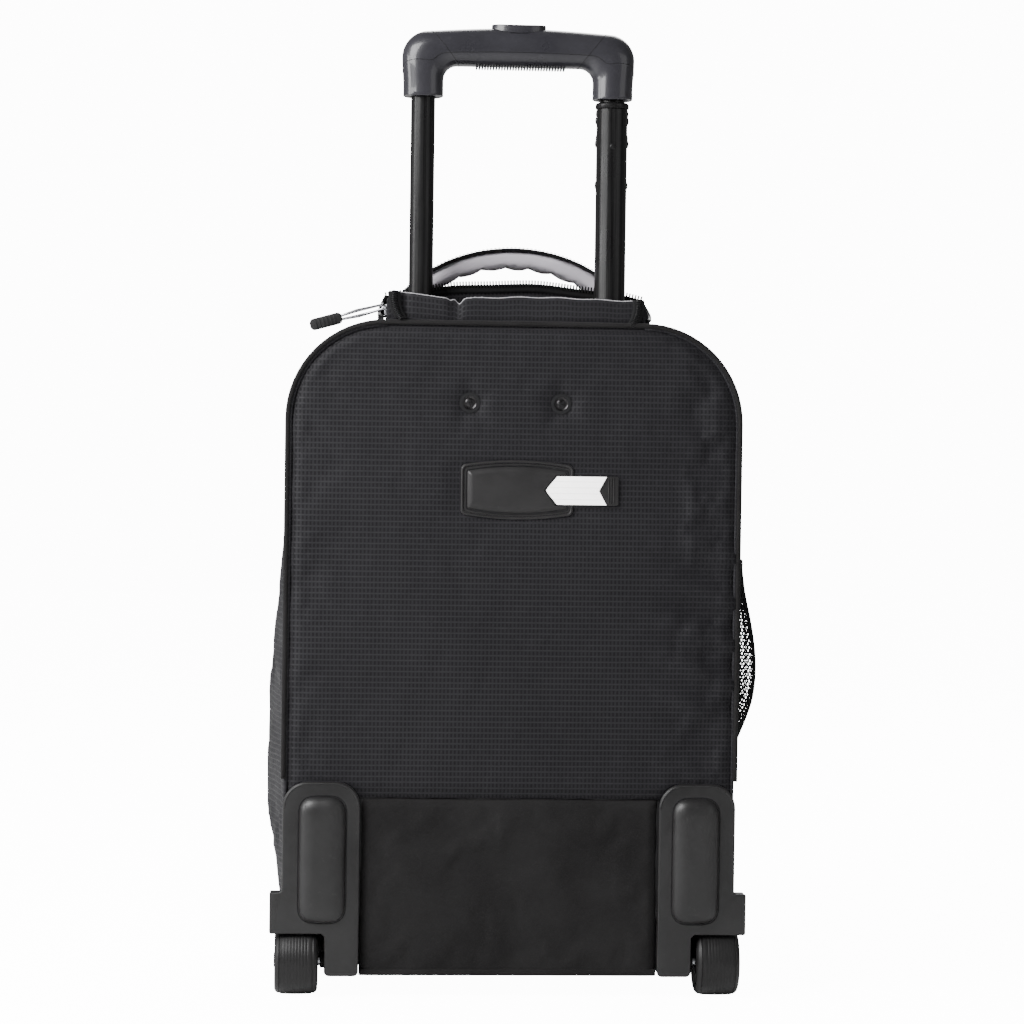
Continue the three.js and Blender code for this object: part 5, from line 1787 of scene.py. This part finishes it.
class CASE_OT_wheels(bpy.types.Operator):
    """Wheel housings with skid pads, wheels, axles and front feet"""

    bl_idname = "laptop_case.wheels"
    bl_label = "Wheels"

    def execute(self, context):
        for make in (self.housing, self.tyre, self.core, self.axle, self.spacer, self.foot):
            name, node, slot_name, body, piece = make()
            left = mirror_copy(piece, f"{name}_left")
            piece.name = piece.data.name = f"{name}_right"
            for side, obj in (("right", piece), ("left", left)):
                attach(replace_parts(obj, f"{node}_{side}"),
                    f"{body}_{side}" if body else "case")
        return {"FINISHED"}

    def housing(self):
        low, high = HOUSING
        inner, leg = low.x, 145 * MM
        plate_y = low.y + 8 * MM
        back = plate_y + 4.4 * MM
        edge = HALF + 1 * MM
        r = 19 * MM
        foot = 17 * MM
        outline = (arc(inner + 4 * MM, foot + 4 * MM, 4 * MM, 180, 270, 5)
            + arc(leg - 4 * MM, foot + 4 * MM, 4 * MM, -90, 0, 5)
            + [(leg, 48 * MM), (leg + 2.4 * MM, 50.4 * MM)] + arc(edge + 7.8 * MM, 52.2 * MM, 1.8 * MM, -90,
            0, 4) + arc(edge + 8.4 * MM, 81.8 * MM, 1.2 * MM, 0, 90, 3) + [(edge + 1.6 * MM, 83.2 * MM),
            (edge, 85 * MM)] + arc(edge - r, high.z - r, r, 0, 90, 10) + arc(inner + r, high.z - r, r, 90,
            180, 10))
        plate = block("plate", outline, plate_y, back, "housing", 1.6 * MM, 4)
        rim = [(x, plate_y + 0.5 * MM, z) for x, z in arc(edge - r - 1.2 * MM, high.z - r - 1.2 * MM, r, 0,
            90, 10) + arc(inner + r + 1.2 * MM, high.z - r - 1.2 * MM, r, 90, 180, 10)]
        lip = tube("plate_lip", rim, 0.9 * MM, "housing", sides=8)
        arm = block("leg", arc(inner + 5 * MM, foot + 5 * MM, 5 * MM, 180, 270, 5)
            + arc(leg - 5 * MM, foot + 5 * MM, 5 * MM, -90, 0, 5) + [(leg, 60 * MM), (inner, 60 * MM)],
            plate_y + 1 * MM, high.y, "housing", 1.0 * MM, 3)
        roof = brick("well_roof", (inner, plate_y + 1 * MM, 58 * MM),
            (HALF + 3.5 * MM, high.y + 2 * MM, 68 * MM), "housing", 1.0 * MM, 3)
        wall = brick("well_wall", (leg - 1 * MM, high.y - 3 * MM, foot), (HALF - 0.4 * MM, high.y, 60 * MM),
            "housing", 0.8 * MM, 2)
        strut = [brick(f"web_{i}", (x - 1.2 * MM, high.y - 16 * MM, 40 * MM),
            (x + 1.2 * MM, high.y - 2 * MM, 59 * MM), "housing", 0.5 * MM, 1)
            for i, x in enumerate(mm(150, 165))]
        skid = self.skid(plate_y)
        side = brick("well_side", (HALF - 1 * MM, plate_y + 0.6 * MM, 57 * MM),
            (edge + 9.4 * MM, plate_y + 16 * MM, 82.8 * MM), "housing", 1.4 * MM, 3)
        screws = []
        for z in mm(24, 49):
            screws.append(turned(f"leg_screw_{z:.3f}",
                [(0, 0), (3.0 * MM, 0), mm(3.4, -0.6), mm(3.4, -1.6), (0, -1.6 * MM)], "screw", "X",
                (inner + 0.4 * MM, high.y - 14 * MM, z), 24))
        piece = merged("housing", [plate, lip, arm, roof, wall, *strut, skid, side, *screws])
        return "housing", "wheel_housing", "housing_plastic", "", piece

    def skid(self, plate_y):
        """A long round-ended pad that swells out of the plate."""
        low = HOUSING[0]
        cx, half = (low.x + HALF) / 2 - 0.4 * MM, 18.5 * MM
        z0, z1 = 59 * MM, 159 * MM
        deep = plate_y - low.y
        middle, run = (z0 + z1) / 2, (z1 - z0) / 2 - half
        ring = []
        for a in spaced(0, TAU, 129):
            c, n = cos(a), sin(a)
            ring.append((cx + half * bulged(c, 0.62), middle + copysign(run + half * abs(n) ** 0.62, n)))
        ring[-1] = ring[0]

        def place(c, r):
            x = cx + (ring[c][0] - cx) * r
            spine_z = min(max(ring[c][1], z0 + half), z1 - half)
            z = spine_z + (ring[c][1] - spine_z) * r
            rise = deep * (1 - r ** 3.6) ** 0.72
            flat = 0.6 * MM * eased(abs(z - middle), 20, 44)
            return (x, plate_y + 0.3 * MM - rise * (1 - flat / deep), z)

        rows = [1.0, 0.995, 0.985, 0.97, 0.95, 0.925, 0.9, 0.87, 0.83] + spaced(0.78, 0.0, 12)
        pad = surface("skid_pad", place, list(range(len(ring))), rows, "housing")
        outward(pad)
        if sum(p.normal.y * p.area for p in pad.data.polygons) > 0:
            pad.data.flip_normals()
        # Painted shade: a thin dark cord in the groove_shadow finish round the foot of the pad stands for
        # the shade in the crease where it meets the plate.
        seam = tube("skid_crease_shade",
            [Vector((cx + (x - cx) * 1.03, plate_y - 0.02 * MM, middle + (z - middle) * 1.01))
            for x, z in ring[:-1]], 0.35 * MM, "groove", True, 6)
        return merged("skid_pad", [pad, seam])

    def tyre(self):
        low, high = WHEEL[0] + Vector((1.2 * MM, 0, 0)), WHEEL[1] + Vector((2.4 * MM, 0, 0))
        radius = (high.z - low.z) / 2
        centre = across(low, high)
        wide = high.x - low.x
        profile = [(20 * MM, low.x + 0.8 * MM), (22.6 * MM, low.x + 0.1 * MM),
            (24.2 * MM, low.x + 0.7 * MM), (25.4 * MM, low.x + 1.9 * MM), (26.2 * MM, low.x + 3.4 * MM),
            (25.95 * MM, low.x + 3.7 * MM), (25.85 * MM, low.x + 4.3 * MM), (26.45 * MM, low.x + 4.7 * MM)]
        for i in range(9):
            share = (i + 0.5) / 9
            x = low.x + 6.2 * MM + (wide - 12.4 * MM) * share
            crown = radius - 0.35 * MM * (2 * share - 1) ** 2
            profile += [(crown, x - 0.85 * MM), (crown, x + 0.75 * MM), (crown - 0.1 * MM, x + 0.95 * MM),
                (crown - 0.1 * MM, x + 1.1 * MM)]
        profile += [(26.45 * MM, high.x - 4.7 * MM), (25.85 * MM, high.x - 4.3 * MM),
            (25.85 * MM, high.x - 3.7 * MM), (26.2 * MM, high.x - 3.4 * MM), (25.4 * MM, high.x - 1.9 * MM),
            (24.2 * MM, high.x - 0.7 * MM), (22.6 * MM, high.x - 0.1 * MM), (20 * MM, high.x - 0.8 * MM)]
        piece = turned("tyre", profile, "tyre", "X", centre, 96)
        return "tyre_tread", "tyre", "tyre", "wheel", piece

    def core(self):
        low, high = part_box("wheel_core_right")
        centre = across(low, high)
        bore = 4.4 * MM
        rim = (high.z - low.z) / 2
        hub = turned("hub",
            [(11 * MM, low.x), (rim, low.x), (rim, high.x), (17.6 * MM, high.x),
            (16.8 * MM, high.x - 1.2 * MM), (16.4 * MM, high.x - 4 * MM), (9.4 * MM, high.x - 4 * MM),
            (8.8 * MM, high.x - 1.4 * MM), (8.2 * MM, high.x - 0.8 * MM), (bore, high.x - 0.8 * MM),
            (bore, low.x + 8 * MM), (11 * MM, low.x + 8 * MM)], "housing", "X", centre, 72)
        spokes = []
        for k in range(6):
            spoke = brick(f"spoke_{k}", (high.x - 5 * MM, -1.5 * MM, 8.4 * MM),
                (high.x - 1.3 * MM, 1.5 * MM, 17.2 * MM), "housing", 0.6 * MM, 2)
            spoke.data.transform(Matrix.Translation(centre) @ Matrix.Rotation(TAU * k / 6 + 0.2, 4, "X"))
            spokes.append(spoke)
        return "hub_piece", "wheel_core", "housing_plastic", "wheel", merged("hub_piece", [hub, *spokes])

    def axle(self):
        low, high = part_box("axle_right")
        centre = across(low, high)
        head = (high.z - low.z) / 2
        pin = turned("axle",
            [(0, low.x), (3.4 * MM, low.x), (4 * MM, low.x + 0.6 * MM), (4 * MM, high.x - 2.6 * MM),
            (0, high.x - 2.6 * MM)], "steel", "X", centre, 48)
        cap = turned("axle_cap",
            [(0, high.x - 2.8 * MM), (head, high.x - 2.8 * MM), (head, high.x - 1.4 * MM),
            (head - 1.2 * MM, high.x - 0.3 * MM), (head - 2.4 * MM, high.x), (2.4 * MM, high.x),
            (2.2 * MM, high.x - 0.8 * MM), (0, high.x - 0.8 * MM)], "screw", "X", centre, 48)
        return "axle_pin", "axle", "steel", "", merged("axle_pin", [pin, cap])

    def spacer(self):
        low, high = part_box("axle_spacer_right")
        centre = across(low, high)
        radius = (high.z - low.z) / 2
        piece = turned("spacer", [(4.4 * MM, low.x), (radius - 0.4 * MM, low.x), (radius, low.x + 0.4 * MM),
            (radius, high.x - 0.4 * MM), (radius - 0.4 * MM, high.x), (4.4 * MM, high.x)], "board", "X",
            centre, 48)
        return "spacer_ring", "axle_spacer", "stiff_board", "", piece

    def foot(self):
        low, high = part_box("front_foot_right")
        centre = ((low.x + high.x) / 2, (low.y + high.y) / 2, 0)
        top = (high.x - low.x) / 2
        piece = turned("foot",
            [(0, 0), (10.2 * MM, 0), mm(11, 0.8), mm(11.4, 4), mm(11.1, 4.6), mm(11.5, 5.2), mm(13.0, 12),
            (top, 13.4 * MM), (top, high.z), (0, high.z)], "rubber", "Z", centre, 64)
        return "rubber_foot", "front_foot", "rubber", "", piece


class CASE_OT_inside(bpy.types.Operator):
    """Padded laptop sleeve, inner wall, main zip slider and finishes for the parts inside"""

    bl_idname = "laptop_case.inside"
    bl_label = "Inside"

    def execute(self, context):
        s = settings()
        self.sleeve(s)
        self.cover()
        self.slider()
        self.bezel()
        for name, finish in (("back_board", "board"), ("bottom_board", "board"), ("tube_base", "board"),
                ("cross_brace", "steel"), ("transfer_bar", "steel"), ("button_spring", "steel"),
                ("lock_pin_left", "steel"), ("lock_pin_right", "steel"), ("push_rod_left", "steel"),
                ("push_rod_right", "steel"), ("wheel_bearing_left", "steel"),
                ("wheel_bearing_right", "steel")):
            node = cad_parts[name]
            node.data.materials.clear()
            node.data.materials.append(FINISH[finish])
            bevel = modify(node, "BEVEL", width=0.5 * MM, segments=2, limit_method="ANGLE")
            bevel.angle_limit = radians(40)
            bevel.harden_normals = False
        return {"FINISHED"}

    def sleeve(self, s):
        """A padded pouch, open at the top, with a bound edge and a row of stitches below it."""
        low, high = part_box("laptop_sleeve")
        wall = 5 * MM

        def panel(name, y, way):
            def place(c, r):
                side = min(c - low.x, high.x - c, r - low.z, high.z - r)
                rise = 1.6 * MM * eased(side, 0, 10) + 0.5 * MM * wrinkle(c, y, r, 15.0)
                return (c, y + way * (rise - 1.6 * MM), r)

            columns = spaced(low.x, high.x, 80) if way < 0 else spaced(high.x, low.x, 80)
            return surface(name, place, columns, spaced(low.z, high.z, 60), "sleeve", wall - 1.5 * MM)

        front = panel("sleeve_front", high.y, 1)
        back = panel("sleeve_back", low.y + wall, 1)
        sides = [brick(f"sleeve_side_{i}", (x, low.y + 1 * MM, low.z),
            (x + wall - 1 * MM, high.y - 1.5 * MM, high.z), "sleeve", 1.4 * MM, 3)
            for i, x in enumerate((low.x, high.x - wall + 1 * MM))]
        floor = brick("sleeve_floor", (low.x, low.y + 1 * MM, low.z),
            (high.x, high.y - 1.5 * MM, low.z + wall), "sleeve", 1.4 * MM, 3)
        pouch = merged("sleeve_pouch", [front, back, *sides, floor])
        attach(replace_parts(pouch, "laptop_sleeve"), "case")
        edge = [(x, high.y - 2.4 * MM, high.z) for x in spaced(low.x + 1 * MM, high.x - 1 * MM, 60)]
        binding = tube("sleeve_binding", edge, 2.6 * MM, "tape", sides=16)
        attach(binding, "case")
        lines = [[(x, high.y + 0.1 * MM, high.z - 9 * MM) for x in spaced(low.x + 6 * MM, high.x - 6 * MM,
            60)]]
        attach(row("sleeve_stitches", lines, "thread", s.stitch_pitch, STITCH, (0, 1, 0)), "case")

    def bezel(self):
        """The moulding that the tubes rise through, with room round them for their crimps."""
        low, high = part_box("tube_bezel")
        plate = brick("bezel_plate", low, high, "grip", 0.8 * MM, 3)
        for x in (-TUBE_X, TUBE_X):
            hole = turned("bezel_hole",
                [(0, low.z - 5 * MM), (14 * MM, low.z - 5 * MM), (14 * MM, high.z + 5 * MM),
                (0, high.z + 5 * MM)], "grip", "Z", (x, HANDLE_Y, 0), 48)
            carve(plate, hole)
        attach(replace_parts(sharp_edges(plate, 40), "tube_bezel"), "case")

    def cover(self):
        """The cloth wall between the handle bay and the main room."""
        low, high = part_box("frame_cover")

        def place(c, r):
            x = -c * (panel_half(r, 5.2 * MM))
            return (x, high.y + 0.2 * MM * wrinkle(x, 8, r, 18.0), r)

        top = CASE_TOP - 4.8 * MM
        rows = spaced(low.z, ARC_Z, 40) + [min(z, high.z) for z in spaced(ARC_Z, high.z, 26)[1:]]
        cover = surface("inner_wall", place, spaced(-1, 1, 70), rows, "inside", high.y - low.y,
            keep=lambda p: p.z < top)
        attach(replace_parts(cover, "frame_cover"), "case")

    def slider(self):
        low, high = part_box("main_zip_slider")
        y = (low.y + high.y) / 2
        z = high.z - 6 * MM
        body = brick("main_body", (high.x - 4.4 * MM, y - 3.6 * MM, z - 5.6 * MM),
            (high.x, y + 3.6 * MM, z + 5.6 * MM), "zinc", 1.3 * MM, 3)
        bridge = brick("main_bridge", (high.x - 6.4 * MM, y - 1.1 * MM, z - 4 * MM),
            (high.x - 3.6 * MM, y + 1.1 * MM, z + 4 * MM), "zinc", 0.7 * MM, 3)
        tab = block("main_tab", rounded(-2.8 * MM, 2.8 * MM, -28 * MM, 1.6 * MM, 2.5 * MM, 6), -0.8 * MM,
            0.8 * MM, "zinc", 0.4 * MM, 2)
        tab.data.transform(Matrix.Translation((high.x - 7.2 * MM, y, z)) @ Matrix.Rotation(pi / 2, 4, "Z"))
        piece = merged("main_slider_piece", [body, bridge, tab])
        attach(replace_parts(piece, "main_zip_slider"), "main_slider")


class CASE_OT_stage(bpy.types.Operator):
    """Pale floor, soft lights and the camera"""

    bl_idname = "laptop_case.stage"
    bl_label = "Stage"

    def execute(self, context):
        scene = context.scene
        world = bpy.data.worlds.new("studio")
        scene.world = world
        world.use_nodes = True
        sky = Nodes(world.node_tree)
        soft = world.node_tree.nodes["Background"]
        sky.put(soft.inputs["Color"], (1, 1, 1, 1))
        sky.put(soft.inputs["Strength"], 0.24)
        backdrop = sky.add("ShaderNodeBackground", {"Color": (1, 1, 1, 1), "Strength": GLOW})
        seen = sky.add("ShaderNodeLightPath").outputs["Is Camera Ray"]
        both = sky.add("ShaderNodeMixShader", {0: seen, 1: soft.outputs[0], 2: backdrop.outputs[0]})
        sky.put(world.node_tree.nodes["World Output"].inputs["Surface"], both.outputs[0])
        ground = bpy.data.materials.new("pale_floor")
        ground.use_nodes = True
        shader = ground.node_tree.nodes["Principled BSDF"]
        shader.inputs["Base Color"].default_value = (0.92, 0.92, 0.92, 1)
        shader.inputs["Roughness"].default_value = 0.75
        shader.inputs["Emission Color"].default_value = (1, 1, 1, 1)
        glow = Nodes(ground.node_tree)
        seen = glow.add("ShaderNodeLightPath").outputs["Is Camera Ray"]
        glow.put(shader.inputs["Emission Strength"], glow.math("MULTIPLY", seen, GLOW))
        mesh = bpy.data.meshes.new("floor")
        mesh.from_pydata([(-6, -6, 0), (6, -6, 0), (6, 6, 0), (-6, 6, 0)], [], [(0, 1, 2, 3)])
        mesh.materials.append(ground)
        floor = bpy.data.objects.new("floor", mesh)
        scene.collection.objects.link(floor)
        for name, place, size, power in (("key", (-0.95, -0.85, 1.2), 0.8, 42),
                ("fill", (1.9, -1.9, 1.1), 1.5, 10), ("rim", (0.4, 1.9, 2.1), 1.4, 50),
                ("strip", (-2.1, -0.5, 0.9), 0.7, 24)):
            light = bpy.data.lights.new(name, "AREA")
            light.size = size
            light.energy = power
            lamp = bpy.data.objects.new(name, light)
            lamp.matrix_world = self.aimed(Vector(place), Vector((0, 0, 0.36)))
            scene.collection.objects.link(lamp)
        camera = bpy.data.cameras.new("camera")
        camera.lens = LENS
        camera.sensor_width = 36
        camera.clip_end = 50
        holder = bpy.data.objects.new("camera", camera)
        yaw, pitch, roll = CAMERA_TURNS
        forward = Vector((-sin(yaw) * cos(pitch), cos(yaw) * cos(pitch), sin(pitch)))
        level = Vector((cos(yaw), sin(yaw), 0))
        rise = level.cross(forward)
        right = cos(roll) * level + sin(roll) * rise
        up = -sin(roll) * level + cos(roll) * rise
        holder.matrix_world = Matrix.Translation(CAMERA_PLACE) @ Matrix((right, up,
            -forward)).transposed().to_4x4()
        scene.collection.objects.link(holder)
        scene.camera = holder
        return {"FINISHED"}

    @staticmethod
    def aimed(place, target):
        turn = (target - place).to_track_quat("-Z", "Y")
        return Matrix.Translation(place) @ turn.to_matrix().to_4x4()


class CASE_PT_panel(bpy.types.Panel):
    """Settings and steps of the case"""

    bl_idname = "CASE_PT_panel"
    bl_label = "Laptop case"
    bl_space_type = "VIEW_3D"
    bl_region_type = "UI"
    bl_category = "Laptop case"

    def draw(self, context):
        for name in CaseSettings.__annotations__:
            self.layout.prop(context.scene.laptop_case, name)
        for step in STEPS:
            self.layout.operator(step.bl_idname)


STEPS = (CASE_OT_back, CASE_OT_sides, CASE_OT_front, CASE_OT_mouth, CASE_OT_patch, CASE_OT_grab_handle,
    CASE_OT_side_pocket, CASE_OT_handle, CASE_OT_wheels, CASE_OT_inside, CASE_OT_stage)


def register():
    for item in (CaseSettings, *STEPS, CASE_PT_panel):
        bpy.utils.register_class(item)
    bpy.types.Scene.laptop_case = bpy.props.PointerProperty(type=CaseSettings)


def unregister():
    del bpy.types.Scene.laptop_case
    for item in reversed((CaseSettings, *STEPS, CASE_PT_panel)):
        bpy.utils.unregister_class(item)


def main():
    register()
    FINISH.update(make_finishes(settings()))
    for step in STEPS:
        group, name = step.bl_idname.split(".")
        if getattr(getattr(bpy.ops, group), name)() != {"FINISHED"}:
            raise RuntimeError(f"{step.bl_label} did not finish")


if __name__ == "__main__":
    main()
